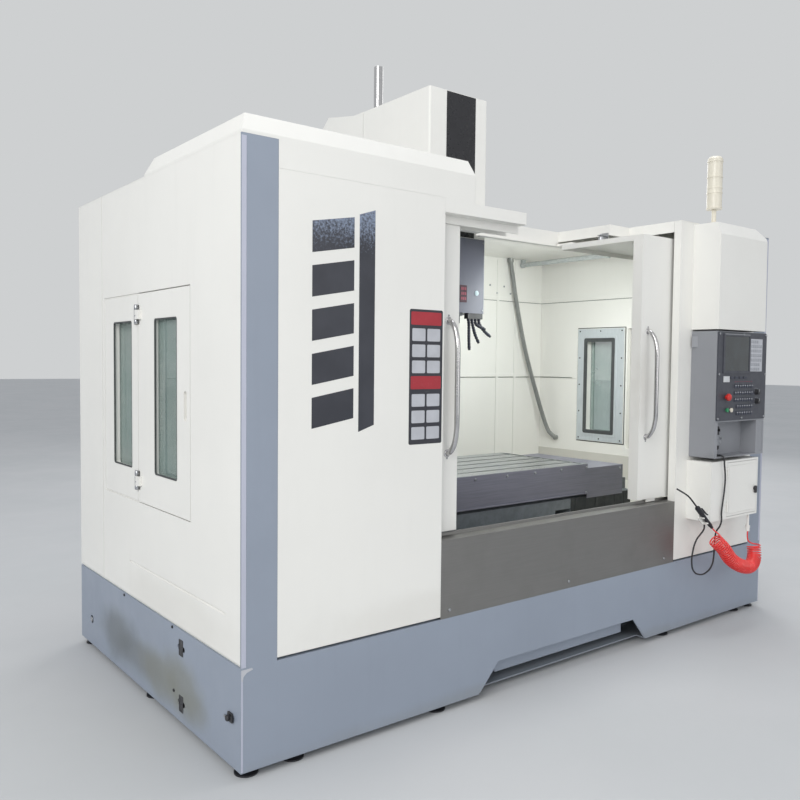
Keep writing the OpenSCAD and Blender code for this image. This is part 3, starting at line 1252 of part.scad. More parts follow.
module cabinet_door() color(white) place() {
    y = body_d + elec_d;
    difference() {
        block([elec_x, elec_x1], [y + gap, y + cab_door_t], [elec_z0, elec_z1]);
        block([elec_x + 3, elec_x1 - 3], [y, y + cab_door_t - 3], [elec_z0 + 3, elec_z1 - 3]);
        for (z = elec_hinge_zs) block([elec_x1 - 2, elec_x1 + 1], [y, y + cab_door_t + 1], [z - 1, z + 101]);
        for (i = [0 : 7]) block([elec_x + 300, elec_x1 - 300], [y + cab_door_t - 4, y + cab_door_t + 1],
            [elec_z0 + 200 + 26 * i, elec_z0 + 208 + 26 * i]);
    }
    for (z = elec_hinge_zs) difference() {
        union() {
            rod_z(elec_x1 + 8, y + cab_door_t - 6, [z + 30 + gap, z + 70 - gap], 16);
            block([elec_x1 - 3, elec_x1 + 8], [y + cab_door_t - 3, y + cab_door_t + 2],
                [z + 30 + gap, z + 70 - gap]);
        }
        rod_z(elec_x1 + 8, y + cab_door_t - 6, [z, z + 100], 8 + 2 * gap);
    }
    rod_y(elec_x + 60, [y + cab_door_t - 3, y + cab_door_t + 10], 1400, 30);
    block([elec_x + 50, elec_x + 70], [y + cab_door_t + 9, y + cab_door_t + cab_handle], [1310, 1420]);
}

base_pan();
leveling_feet();
bed();
column();
left_wall();
right_wall();
left_front_panel();
right_front_panel();
roof();
left_hood();
apron();
back_wall();
wall_glass();
column_cover();
mast_tube();
work_light();
conduit();
chip_pan();
carousel_arm();
carousel_drum();
electrical_cabinet();
cabinet_door();
control_cabinet();
control_panel();
screen();
e_stop();
start_button();
hold_button();
feed_knob();
speed_knob();
pendant();
pendant_dial();
locker_door();
locker_latch();
signal_tower();
air_gun();
gun_trigger();
air_hose();
pendant_cable();
left_door();
left_door_glass();
left_handle();
right_door();
right_door_glass();
right_handle();
left_leaf();
left_leaf_glass();
right_leaf();
right_leaf_glass();
saddle();
table();
table_covers();
head_casting();
head_cover();
motor_cover();
nozzles();
spindle();
x_screw();
y_screw();
z_screw();
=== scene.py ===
"""Looks, trim, fasteners and cords of the machining center, built round the part's own frame."""
import math

import bmesh
import bpy
from mathutils import Matrix, Vector


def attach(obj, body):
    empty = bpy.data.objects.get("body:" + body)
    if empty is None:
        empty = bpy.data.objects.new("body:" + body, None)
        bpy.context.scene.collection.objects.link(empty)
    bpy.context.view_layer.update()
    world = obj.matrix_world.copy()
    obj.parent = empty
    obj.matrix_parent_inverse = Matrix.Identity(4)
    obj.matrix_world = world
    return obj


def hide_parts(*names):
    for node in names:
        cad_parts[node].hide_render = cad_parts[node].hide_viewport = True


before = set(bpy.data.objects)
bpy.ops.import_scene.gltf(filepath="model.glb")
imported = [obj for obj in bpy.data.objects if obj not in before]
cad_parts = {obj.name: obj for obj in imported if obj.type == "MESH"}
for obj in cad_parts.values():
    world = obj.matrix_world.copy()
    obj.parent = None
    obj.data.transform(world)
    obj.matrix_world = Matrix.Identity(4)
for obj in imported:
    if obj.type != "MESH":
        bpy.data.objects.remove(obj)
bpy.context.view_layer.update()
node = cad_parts
scene = bpy.context.scene

# Places on the part's drawing, in mm: x from the middle, y back from the front panels, z up
ORIGIN_Y = 1054.5  # the part's own origin
SIDE = 1800  # outer face of the side walls and the skirt
INNER = 1710  # inner face of the side walls
BACK_WALL = 1780
SLIDE_FACE = 60  # front of the sliding doors
PANEL_FACE = -161  # front of the control panel
HEAD_FACE = 877  # front of the head cover
TABLE_FACE = 483  # front of the table's cover
HANDLE_X = {"left": -782, "right": 658}
HANDLE_Z = 1408  # middle of both handles
WINDOW_Z = (1018, 1690)  # windows in the side walls
LEAF_WINDOW_Y, REAR_WINDOW_Y = (564, 810), (1076, 1322)
DIALS = (("feed", 1402, 1363), ("speed", 1406, 1310))  # override knobs: name, x, z
SIDES = (("left", -1), ("right", 1))
FRONT, LEFT, RIGHT, UP = (0, -1, 0), (-1, 0, 0), (1, 0, 0), (0, 0, 1)


def P(x, y, z):
    """A point of the drawing, in mm, as a point of the row frame, in metres."""
    return Vector((x / 1000, (y - ORIGIN_Y) / 1000, z / 1000))


def rgb(r, g, b):
    """An 8-bit screen colour as a linear one."""
    c = [v / 255 for v in (r, g, b)]
    return tuple(v / 12.92 if v <= 0.04045 else ((v + 0.055) / 1.055) ** 2.4 for v in c) + (1.0,)


def shade(colour, k):
    return tuple(min(1.0, v * k) for v in colour[:3]) + (1.0,)


# Camera, fitted to the photo's straight edges
FOCAL_PX, PHOTO_PX, SENSOR = 809.05, 800, 36
EYE = (-3.1115, -3.6301, 1.51465)
yaw, pitch, roll = (math.radians(v) for v in (-38.1, -2.68, 0.59))
ahead = Vector((-math.sin(yaw) * math.cos(pitch), math.cos(yaw) * math.cos(pitch),
                math.sin(pitch)))
level = Vector((math.cos(yaw), math.sin(yaw), 0))
above = level.cross(ahead)
right = level * math.cos(roll) + above * math.sin(roll)
up = above * math.cos(roll) - level * math.sin(roll)
cam = bpy.data.objects.new("camera", bpy.data.cameras.new("camera"))
scene.collection.objects.link(cam)
cam.data.sensor_width = SENSOR
cam.data.lens = SENSOR * FOCAL_PX / PHOTO_PX
cam.data.clip_start, cam.data.clip_end = 0.05, 200
turn = Matrix((right, up, -ahead)).transposed().to_4x4()
cam.matrix_world = Matrix.Translation(EYE) @ turn
scene.camera = cam


# Shader nodes: t is a node tree, and a value is a number, a colour or another node's output
def new_material(name):
    """A material with one Principled shader: the material, its node tree and the shader."""
    m = bpy.data.materials.new(name)
    m.use_nodes = True
    t = m.node_tree
    t.nodes.clear()
    out = t.nodes.new("ShaderNodeOutputMaterial")
    p = t.nodes.new("ShaderNodeBsdfPrincipled")
    t.links.new(p.outputs["BSDF"], out.inputs["Surface"])
    return m, t, p


def put(t, value, socket):
    """Links an output to a socket, or sets the socket to a constant."""
    if isinstance(value, bpy.types.NodeSocket):
        t.links.new(value, socket)
    else:
        socket.default_value = value


def coords(t, stretch=(1, 1, 1)):
    c = t.nodes.new("ShaderNodeTexCoord")
    m = t.nodes.new("ShaderNodeMapping")
    m.inputs["Scale"].default_value = stretch
    t.links.new(c.outputs["Object"], m.inputs["Vector"])
    return m.outputs["Vector"]


def noise(t, where, scale, detail=3.0, rough=0.55):
    n = t.nodes.new("ShaderNodeTexNoise")
    n.inputs["Scale"].default_value = scale
    n.inputs["Detail"].default_value = detail
    n.inputs["Roughness"].default_value = rough
    t.links.new(where, n.inputs["Vector"])
    return n.outputs["Fac"]


def span(t, value, a, b, c, d):
    """Maps a..b smoothly to c..d, clamped."""
    n = t.nodes.new("ShaderNodeMapRange")
    n.interpolation_type = "SMOOTHSTEP"
    put(t, value, n.inputs["Value"])
    for k, v in (("From Min", a), ("From Max", b), ("To Min", c), ("To Max", d)):
        n.inputs[k].default_value = v
    return n.outputs["Result"]


def mix(t, share, a, b):
    n = t.nodes.new("ShaderNodeMix")
    n.data_type = "RGBA"
    put(t, share, n.inputs[0])
    put(t, a, n.inputs[6])
    put(t, b, n.inputs[7])
    return n.outputs[2]


def two_tone(t, value, colour, low, high, a=0.3, b=0.7):
    """Goes from a darker to a lighter shade of a colour while the value goes from a to b."""
    return mix(t, span(t, value, a, b, 0.0, 1.0), shade(colour, low), shade(colour, high))


def maths(t, what, a, b=0.0):
    n = t.nodes.new("ShaderNodeMath")
    n.operation = what
    put(t, a, n.inputs[0])
    put(t, b, n.inputs[1])
    return n.outputs[0]


def surface(t, p, colour, rough, height, strength, depth, edge=0.0):
    """Sets the shader's colour, roughness and relief, over edges rounded by a radius."""
    put(t, colour, p.inputs["Base Color"])
    put(t, rough, p.inputs["Roughness"])
    bump = t.nodes.new("ShaderNodeBump")
    bump.inputs["Strength"].default_value = strength
    bump.inputs["Distance"].default_value = depth
    t.links.new(height, bump.inputs["Height"])
    if edge:
        bevel = t.nodes.new("ShaderNodeBevel")
        bevel.samples = 4
        bevel.inputs["Radius"].default_value = edge
        t.links.new(bevel.outputs["Normal"], bump.inputs["Normal"])
    t.links.new(bump.outputs["Normal"], p.inputs["Normal"])


def blob(t, centre, size, scale, ragged=0.75):
    """A ragged patch round a point of the row frame, 1 in its middle and 0 outside."""
    c = t.nodes.new("ShaderNodeTexCoord")
    m = t.nodes.new("ShaderNodeMapping")
    m.vector_type = "TEXTURE"
    m.inputs["Location"].default_value = centre
    m.inputs["Scale"].default_value = size
    t.links.new(c.outputs["Object"], m.inputs["Vector"])
    n = t.nodes.new("ShaderNodeVectorMath")
    n.operation = "LENGTH"
    t.links.new(m.outputs["Vector"], n.inputs[0])
    wobble = maths(t, "SUBTRACT", noise(t, c.outputs["Object"], scale, 4.0), 0.5)
    reach = maths(t, "ADD", n.outputs["Value"], maths(t, "MULTIPLY", wobble, ragged))
    return span(t, reach, 0.25, 1.0, 1.0, 0.0)


# Kinds of material
def paint(name, colour, rough=0.4, spread=0.035, peel=0.22, edge=0.0016, streak=0.05, marks=()):
    """Sprayed or powder-coated sheet: orange peel, uneven colour and gloss, faint runs of dust.

    Marks are patches of dirt and of painted shade: each gives its centre, size, colour, share and
    the scale of its ragged rim.
    """
    m, t, p = new_material(name)
    where = coords(t)
    col = two_tone(t, noise(t, where, 1.1, 4.0), colour, 1 - spread, 1 + spread)
    runs = noise(t, coords(t, (9, 9, 0.7)), 2.0, 5.0)
    col = mix(t, span(t, runs, 0.52, 0.8, 0.0, streak * 4), col, shade(colour, 0.86))
    specks = noise(t, where, 260.0, 2.0)
    col = mix(t, span(t, specks, 0.68, 0.76, 0.0, 0.25), col, shade(colour, 0.9))
    gloss = span(t, noise(t, where, 7.0, 5.0), 0.3, 0.72, rough - 0.06, rough + 0.08)
    # Each mark tints the paint round a point: dirt stains, and painted shade in the console's
    # recess
    for centre, size, tint, share, scale in marks:
        stain_and_shade = blob(t, centre, size, scale)
        col = mix(t, maths(t, "MULTIPLY", stain_and_shade, share), col, tint)
        gloss = maths(t, "ADD", gloss, maths(t, "MULTIPLY", stain_and_shade, 0.12))
    p.inputs["Specular IOR Level"].default_value = 0.45
    surface(t, p, col, gloss, noise(t, where, 330.0, 2.0), peel, 0.0004, edge)
    return m


def metal(name, colour, rough, along=(3, 260, 260), scale=3.0, spread=0.12, edge=0.0008,
          strength=0.12, metallic=1.0):
    """Brushed, ground or turned metal: streaks along one direction in colour, gloss and relief."""
    m, t, p = new_material(name)
    lines = noise(t, coords(t, along), scale, 3.0)
    clouds = noise(t, coords(t), 3.5, 5.0)
    col = two_tone(t, lines, colour, 1 - spread, 1 + spread)
    col = mix(t, span(t, clouds, 0.45, 0.75, 0.0, 0.3), col, shade(colour, 0.8))
    p.inputs["Metallic"].default_value = metallic
    gloss = maths(t, "ADD", span(t, lines, 0.3, 0.7, rough - 0.04, rough + 0.05),
                  span(t, clouds, 0.4, 0.8, -0.03, 0.1))
    surface(t, p, col, gloss, lines, strength, 0.0003, edge)
    return m


def plastic(name, colour, rough=0.4, grain=500.0, strength=0.1, spread=0.06, coat=0.0,
            edge=0.0008):
    """Moulded plastic, rubber or film: fine grain, slight change of colour and gloss, dust."""
    m, t, p = new_material(name)
    where = coords(t)
    col = two_tone(t, noise(t, where, 14.0, 4.0), colour, 1 - spread, 1 + spread, 0.35)
    dust = span(t, noise(t, where, 60.0, 6.0, 0.7), 0.55, 0.8, 0.0, 0.12)
    col = mix(t, dust, col, rgb(170, 168, 160))
    gloss = span(t, noise(t, where, 35.0, 4.0), 0.3, 0.75, rough - 0.06, rough + 0.12)
    p.inputs["Coat Weight"].default_value = coat
    surface(t, p, col, gloss, noise(t, where, grain, 2.0), strength, 0.0003, edge)
    return m


def cast(name, colour, rough=0.62):
    """Filled and painted iron casting: lumpy skin, small pits, oil stains."""
    m, t, p = new_material(name)
    where = coords(t)
    lumps = noise(t, where, 26.0, 6.0, 0.65)
    col = two_tone(t, lumps, colour, 0.84, 1.12, 0.3, 0.72)
    oil = span(t, noise(t, where, 2.4, 5.0), 0.52, 0.74, 0.0, 0.5)
    col = mix(t, oil, col, shade(colour, 0.62))
    gloss = span(t, noise(t, where, 5.0, 4.0), 0.35, 0.7, rough - 0.14, rough + 0.1)
    surface(t, p, col, gloss, lumps, 0.4, 0.002, 0.003)
    return m


def glass(name, tint, rough=0.05):
    """Laminated window: see-through with a slight green cast, wipe marks and dust."""
    m, t, p = new_material(name)
    smear = noise(t, coords(t, (1, 1, 2.2)), 4.0, 6.0, 0.6)
    col = mix(t, span(t, smear, 0.4, 0.75, 0.0, 0.35), tint, rgb(196, 204, 200))
    cover = span(t, noise(t, coords(t), 2.2, 5.0), 0.35, 0.75, 0.34, 0.5)
    put(t, cover, p.inputs["Alpha"])
    p.inputs["IOR"].default_value = 1.5
    surface(t, p, col, span(t, smear, 0.35, 0.75, rough, rough + 0.14),
            noise(t, coords(t), 3.0, 2.0), 0.05, 0.002)
    return m


def lit(name, colour, strength, rough=0.4):
    """A lamp's tube, a display's segment or a pilot light, glowing softly."""
    m, t, p = new_material(name)
    where = coords(t)
    col = two_tone(t, noise(t, where, 40.0, 3.0), colour, 0.92, 1.06)
    put(t, col, p.inputs["Emission Color"])
    p.inputs["Emission Strength"].default_value = strength
    gloss = span(t, noise(t, where, 80.0, 3.0), 0.3, 0.7, rough - 0.05, rough + 0.08)
    surface(t, p, col, gloss, noise(t, where, 300.0, 2.0), 0.08, 0.0003)
    return m


def fading_film(name):
    """Dark film whose print breaks up into pale specks towards its upper end."""
    m, t, p = new_material(name)
    where = coords(t)
    parts = t.nodes.new("ShaderNodeSeparateXYZ")
    t.links.new(where, parts.inputs[0])
    grains = maths(t, "SUBTRACT", noise(t, where, 90.0, 4.0, 0.7), 0.5)
    height = maths(t, "ADD", span(t, parts.outputs[2], 1.75, 2.14, 0.0, 0.62),
                   maths(t, "MULTIPLY", grains, 1.1))
    clouds = span(t, noise(t, where, 5.0, 3.0), 0.3, 0.7, 0.0, 1.0)
    base = mix(t, clouds, rgb(50, 52, 60), rgb(60, 62, 70))
    col = mix(t, span(t, height, 0.32, 0.72, 0.0, 0.8), base, rgb(150, 164, 188))
    gloss = span(t, noise(t, where, 35.0, 4.0), 0.3, 0.75, 0.3, 0.44)
    surface(t, p, col, gloss, noise(t, where, 500.0, 2.0), 0.04, 0.0003)
    return m


# The looks of the part's slots, and of the trim below
soot, earth = rgb(104, 108, 106), rgb(130, 131, 120)
touch = rgb(196, 190, 180)
skirt_marks = (
    (P(-SIDE, 1270, 200), (0.2, 0.34, 0.17), soot, 0.6, 5.0),
    (P(-SIDE, 1000, 160), (0.2, 0.4, 0.11), soot, 0.45, 7.0),
    (P(-SIDE, 770, 160), (0.2, 0.34, 0.14), earth, 0.6, 6.0),
    (P(-SIDE, 530, 185), (0.2, 0.3, 0.17), earth, 0.65, 5.0),
    (P(-SIDE, 420, 120), (0.2, 0.2, 0.1), earth, 0.35, 8.0),
    (P(0, 0, 30), (2.3, 0.3, 0.07), earth, 0.25, 9.0),
)
panel_marks = (
    (P(-SIDE, 560, 470), (0.1, 0.9, 0.16), rgb(205, 202, 194), 0.25, 4.0),
    (P(-860, 0, 470), (0.9, 0.1, 0.12), rgb(208, 204, 196), 0.22, 5.0),
    (P(-780, 60, HANDLE_Z), (0.09, 0.12, 0.3), touch, 0.28, 9.0),
    (P(650, 60, HANDLE_Z), (0.09, 0.12, 0.3), touch, 0.28, 9.0),
)
# Painted shade round the pendant's foot, on the floor and front lip of the console's recess
recess_painted_shade = (P(1100, -155, 1010), (0.2, 0.1, 0.05), rgb(105, 105, 104), 0.35, 9.0)
look = {
    "white_paint": paint("white paint", rgb(236, 235, 230), 0.38, 0.02, 0.2, 0.003, 0.03,
                         panel_marks),
    "bluegrey_paint": paint("blue-grey paint", rgb(146, 155, 169), 0.42, 0.04, 0.3, 0.005, 0.05,
                            skirt_marks),
    "slate_paint": paint("slate paint", rgb(118, 121, 134), 0.42, 0.04, 0.3),
    "grey_paint": paint("grey paint", rgb(146, 148, 153), 0.42, 0.04, 0.35, 0.0014, 0.05,
                        (recess_painted_shade,)),
    "pan": paint("painted tray", rgb(206, 204, 197), 0.45, 0.04, 0.3),
    # Paler paint for the corner folds of the front posts and the skirt: a painted highlight where
    # the rounded folds catch the light
    "fold": paint("pale corner highlight", rgb(186, 189, 204), 0.36, 0.03, 0.2, 0.002),
    "cover_paint": metal("sheet cover", rgb(136, 136, 148), 0.46, (1.5, 90, 90), spread=0.1,
                         edge=0.001, strength=0.1, metallic=0.5),
    "casting": cast("casting", rgb(112, 118, 122)),
    "ground_iron": metal("ground iron", rgb(178, 182, 186), 0.32, (260, 3, 260), spread=0.1,
                         edge=0.0006, strength=0.1),
    "stainless": metal("stainless sheet", rgb(138, 137, 135), 0.44, (2, 260, 260), spread=0.06,
                       edge=0.001, strength=0.08, metallic=0.85),
    "steel": metal("machined steel", rgb(176, 178, 182), 0.3, (60, 60, 700), 2.0, spread=0.1,
                   edge=0.0006),
    "chrome": metal("polished tube", rgb(200, 199, 200), 0.2, (8, 8, 160), 2.0, spread=0.05,
                    edge=0.0004, strength=0.03),
    "black_steel": metal("blackened steel", rgb(62, 62, 66), 0.4, (80, 80, 80), spread=0.15,
                         strength=0.15, metallic=0.7),
    "conduit_grey": metal("conduit", rgb(150, 152, 150), 0.36, (60, 60, 8), spread=0.1,
                          edge=0.0006, metallic=0.6),
    "aluminium": metal("brushed frame", rgb(204, 211, 215), 0.42, (60, 60, 5), spread=0.05,
                       edge=0.0006, strength=0.08, metallic=0.35),
    "window": glass("window", rgb(150, 172, 166)),
    "display": plastic("display glass", rgb(34, 42, 46), 0.1, 200.0, 0.01, 0.25, 0.6),
    "panel_black": plastic("panel plate", rgb(70, 72, 80), 0.36, 800.0, 0.1),
    "black_plastic": plastic("black plastic", rgb(48, 48, 51), 0.42, 500.0, 0.18),
    "red_plastic": plastic("red plastic", rgb(205, 40, 34), 0.3, 500.0, 0.05, 0.05, 0.3),
    "green_plastic": plastic("green plastic", rgb(38, 138, 88), 0.3, 500.0, 0.05, 0.05, 0.3),
    "cream_plastic": plastic("cream plastic", rgb(226, 220, 204), 0.32, 400.0, 0.05, 0.03, 0.2),
    "hose_red": plastic("hose", rgb(234, 60, 58), 0.22, 300.0, 0.04, 0.08, 0.5),
    "cable_black": plastic("cable", rgb(44, 44, 47), 0.5, 900.0, 0.2),
    "rubber": plastic("rubber", rgb(74, 77, 78), 0.6, 900.0, 0.2),
    "cover_black": plastic("way cover", rgb(46, 50, 52), 0.5, 120.0, 0.25),
    "nozzle": plastic("hose segments", rgb(48, 52, 66), 0.36, 300.0, 0.08),
    "key_light": plastic("pale key", rgb(150, 153, 160), 0.4, 600.0, 0.08),
    "key_dark": plastic("dark key", rgb(58, 62, 76), 0.38, 600.0, 0.1),
    "mark": plastic("printed mark", rgb(206, 208, 210), 0.45, 600.0, 0.05),
    "accent": fading_film("accent film"),
    "plate": plastic("plate film", rgb(52, 53, 60), 0.34, 500.0, 0.03, 0.05),
    "accent_red": plastic("red film", rgb(168, 48, 58), 0.36, 500.0, 0.03, 0.06),
    "tile": plastic("pale film", rgb(188, 190, 196), 0.36, 500.0, 0.03, 0.05),
    "stripe": plastic("black film", rgb(36, 36, 40), 0.3, 300.0, 0.05, 0.08),
    "dim_red": plastic("dark red film", rgb(78, 42, 56), 0.55, 500.0, 0.05, 0.08),
    "light_tube": lit("lamp tube", rgb(178, 183, 182), 0.06),
    "led_red": lit("red digits", rgb(150, 58, 78), 0.12),
    "led_white": lit("pilot light", rgb(186, 206, 212), 0.15),
}
hose = look["hose_red"].node_tree.nodes["Principled BSDF"]
hose.inputs["Subsurface Weight"].default_value = 0.25
hose.inputs["Subsurface Radius"].default_value = (0.01, 0.003, 0.002)
hose.inputs["Subsurface Scale"].default_value = 0.5
for name, o in node.items():
    for s in o.material_slots:
        s.material = look["pan" if name == "chip_pan" else s.material.name.split(".")[0]]


# Building pieces
def finish_piece(name, shape, body, slot, bevel=0.0, smooth=40, film=None):
    """Makes a piece of a mesh in work or of a curve, with its look, slot and body."""
    data = shape
    if isinstance(shape, bmesh.types.BMesh):
        data = bpy.data.meshes.new(name)
        bmesh.ops.recalc_face_normals(shape, faces=shape.faces)
        shape.to_mesh(data)
        shape.free()
        for f in data.polygons:
            f.use_smooth = True
        data.set_sharp_from_angle(angle=math.radians(smooth))
    o = bpy.data.objects.new(name, data)
    scene.collection.objects.link(o)
    data.materials.append(look[film or slot])
    if bevel:
        b = o.modifiers.new("edges", "BEVEL")
        b.width, b.segments, b.limit_method = bevel, 2, "ANGLE"
        b.angle_limit = math.radians(35)
    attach(o, body)
    return o


def add_block(bm, x, y, z):
    """A box between pairs of x, y and z."""
    lo, hi = P(x[0], y[0], z[0]), P(x[1], y[1], z[1])
    for v in bmesh.ops.create_cube(bm, size=1.0)["verts"]:
        v.co = Vector(((lo[i] + hi[i]) / 2 + v.co[i] * (hi[i] - lo[i]) for i in range(3)))


def add_lathe(bm, at, along, profile, sides=20):
    """Turns (radius, height) pairs, in mm, round an axis through a point of the row frame."""
    along = Vector(along).normalized()
    u = along.orthogonal().normalized()
    v = along.cross(u)
    rings = []
    for r, h in profile:
        c = at + along * h / 1000
        if r <= 0:
            rings.append([bm.verts.new(c)])
            continue
        rings.append([bm.verts.new(c + (u * math.cos(a) + v * math.sin(a)) * r / 1000)
                      for a in (2 * math.pi * k / sides for k in range(sides))])
    for a, b in zip(rings, rings[1:]):
        for k in range(sides):
            q = [a[k % len(a)], a[(k + 1) % len(a)], b[(k + 1) % len(b)], b[k % len(b)]]
            q = list(dict.fromkeys(q))
            if len(q) > 2:
                bm.faces.new(q)
    for r in (rings[0], rings[-1]):
        if len(r) > 2:
            bm.faces.new(r)


def across(axis, u, v, w):
    """The point (u, v) of a plane across the x or y axis, w along it."""
    return P(w, u, v) if axis == "x" else P(u, w, v)


def add_prism(bm, outline, axis, a, b):
    """A flat outline across an axis, made as thick as a..b."""
    low = [bm.verts.new(across(axis, u, v, a)) for u, v in outline]
    top = [bm.verts.new(across(axis, u, v, b)) for u, v in outline]
    bm.faces.new(low)
    bm.faces.new(top[::-1])
    for k in range(len(outline)):
        n = (k + 1) % len(outline)
        bm.faces.new((low[k], low[n], top[n], top[k]))


def add_frame(bm, axis, outer, inner, a, b):
    """A flat ring between two outlines of the same number of points, as thick as a..b."""
    loops = [[bm.verts.new(across(axis, u, v, w)) for u, v in o]
             for o, w in ((outer, a), (outer, b), (inner, b), (inner, a))]
    n = len(outer)
    for j in range(4):
        one, two = loops[j], loops[(j + 1) % 4]
        for k in range(n):
            bm.faces.new((one[k], one[(k + 1) % n], two[(k + 1) % n], two[k]))


def round_rect(u, v, r, steps=4):
    """The outline of a rectangle with round corners."""
    out = []
    for cu, cv, start in ((u[1] - r, v[1] - r, 0), (u[0] + r, v[1] - r, 90),
                          (u[0] + r, v[0] + r, 180), (u[1] - r, v[0] + r, 270)):
        for k in range(steps + 1):
            a = math.radians(start + 90 * k / steps)
            out.append((cu + r * math.cos(a), cv + r * math.sin(a)))
    return out


def plate(name, x, y, z, body, slot, bevel=0.0006, film=None):
    bm = bmesh.new()
    add_block(bm, x, y, z)
    return finish_piece(name, bm, body, slot, bevel, film=film)


def decal(name, outlines, near, far, body, slot, film, bevel=0.0):
    """Thin film or plate of one or more outlines, seen from the front."""
    bm = bmesh.new()
    for outline in outlines:
        add_prism(bm, outline, "y", near, far)
    return finish_piece(name, bm, body, slot, bevel, film=film)


def gasket(name, axis, u, v, a, b, body, wide=7, r=14):
    """Rubber section round a window's edge."""
    bm = bmesh.new()
    add_frame(bm, axis, round_rect((u[0] + 0.4, u[1] - 0.4), (v[0] + 0.4, v[1] - 0.4), r),
              round_rect((u[0] + wide, u[1] - wide), (v[0] + wide, v[1] - wide),
                         max(2, r - wide)), a, b)
    return finish_piece(name, bm, body, "black_plastic", 0.0008, film="rubber")


def screw_profile(d, h, socket=0.5):
    """A button head with a socket, as (radius, height) pairs."""
    r = d / 2
    return [(0, h * 0.35), (r * socket * 0.92, h * 0.35), (r * socket, h * 0.96), (r * 0.78, h),
            (r * 0.95, h * 0.8), (r, h * 0.45), (r, -0.4)]


def screws(name, spots, d, h, body, slot="steel", sides=14):
    """Button-head screws at (x, y, z, direction) spots."""
    bm = bmesh.new()
    for x, y, z, way in spots:
        add_lathe(bm, P(x, y, z), way, screw_profile(d, h), sides)
    return finish_piece(name, bm, body, slot, smooth=50)


def smooth_path(points, steps):
    """Catmull-Rom through points, with steps between each two."""
    pts = [Vector(p) for p in points]
    ends = [pts[0] * 2 - pts[1]] + pts + [pts[-1] * 2 - pts[-2]]
    out = []
    for i in range(1, len(ends) - 2):
        a, b, c, d = ends[i - 1:i + 3]
        for k in range(steps):
            s = k / steps
            out.append(0.5 * (2 * b + (c - a) * s + (2 * a - 5 * b + 4 * c - d) * s * s
                              + (3 * b - a - 3 * c + d) * s ** 3))
    return out + [pts[-1]]


def lengths_along(path):
    """The way from the start of a path to each of its points."""
    far = [0.0]
    for a, b in zip(path, path[1:]):
        far.append(far[-1] + (b - a).length)
    return far


def curve_piece(name, points, r, body, slot, kind="POLY", ring=6, resolution=8):
    """A tube round a curve through the points."""
    data = bpy.data.curves.new(name, "CURVE")
    data.dimensions = "3D"
    data.bevel_depth, data.bevel_resolution, data.use_fill_caps = r, ring, True
    data.resolution_u = resolution
    s = data.splines.new(kind)
    if kind == "BEZIER":
        s.bezier_points.add(len(points) - 1)
        for bezier, q in zip(s.bezier_points, points):
            bezier.co = q
            bezier.handle_left_type = bezier.handle_right_type = "AUTO"
    else:
        s.points.add(len(points) - 1)
        for point, q in zip(s.points, points):
            point.co = (*q, 1)
    return finish_piece(name, data, body, slot)


def coil(axis, start_side, end_side, radius, pitch, step=0.003, steps_a_turn=18):
    """A tube wound round an axis.

    It comes in along the axis on the coil's rim, swings into the turns, and swings out again
    where the rim faces end_side.
    """
    far = lengths_along(axis)
    # Frames carried along the axis without twist
    frames, side = [], Vector(start_side)
    for k, q in enumerate(axis):
        ahead = (axis[min(k + 1, len(axis) - 1)] - axis[max(k - 1, 0)]).normalized()
        side = (side - ahead * side.dot(ahead)).normalized()
        frames.append((q, side, ahead.cross(side)))

    def rim(s, angle):
        k = next((i for i, f in enumerate(far) if f > s), len(axis)) - 1
        k = max(0, min(len(axis) - 2, k))
        w = (s - far[k]) / (far[k + 1] - far[k])
        q, u, v = (frames[k][i].lerp(frames[k + 1][i], w) for i in range(3))
        return q + (u.normalized() * math.cos(angle) + v.normalized() * math.sin(angle)) * radius

    rise = math.atan(pitch / (2 * math.pi * radius))
    swing = 2.75 * radius

    def slope(way):
        """The tube's angle to the turns: along the axis at first, then that of the pitch."""
        w = min(1.0, way / swing)
        w = w * w * (3 - 2 * w)
        return math.pi / 2 + (rise - math.pi / 2) * w

    # The swing in, as (way along the axis, angle round it)
    lead, s, angle, way = [], 0.0, 0.0, 0.0
    while way < swing:
        lead.append((s, angle))
        f = slope(way + step / 2)
        s, angle = s + math.sin(f) * step, angle + math.cos(f) * step / radius
        way += step
    middle = far[-1] - 2 * s
    # The last turn stops where the rim faces end_side
    last_u, last_v = frames[-1][1], frames[-1][2]
    end_side = Vector(end_side)
    goal = math.atan2(last_v.dot(end_side), last_u.dot(end_side)) - 2 * angle
    count = round(middle / pitch - goal / (2 * math.pi))
    turning = 2 * math.pi * count + goal
    total = steps_a_turn * count
    path = [rim(*q) for q in lead]
    for k in range(total):
        path.append(rim(s + middle * k / total, angle + turning * k / total))
    end = angle + turning + angle
    return path + [rim(far[-1] - a, end - b) for a, b in reversed(lead)]


# Cords
HOSE_D, HOSE_COIL, HOSE_PITCH = 0.008, 0.036, 0.0132
LEAD_D = 0.009
hose_axis = smooth_path([P(*q) for q in (
    (953.9, -162, 590.8), (975.3, -162.5, 572.8), (1007, -171, 543), (1050, -187, 502),
    (1110, -198, 436), (1200, -202, 388), (1292, -200, 364), (1356, -193, 371),
    (1398, -182, 402), (1412, -171.5, 450), (1412, -166, 490), (1412, -165.5, 510),
    (1412, -165.5, 530))], 24)
turns = coil(hose_axis, (0.643, 0, 0.766), (0, 1, 0), HOSE_COIL, HOSE_PITCH)
gun_foot, fitting = P(972.46, -162, 622.26), P(1412, -130, 544.5)
hose_path = ([gun_foot, gun_foot.lerp(turns[0], 0.5)] + turns
             + [turns[-1].lerp(fitting, 0.5), fitting])
air_hose = curve_piece("recoil_hose", hose_path, HOSE_D / 2, "machine", "hose_red", ring=3)
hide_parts("air_hose")

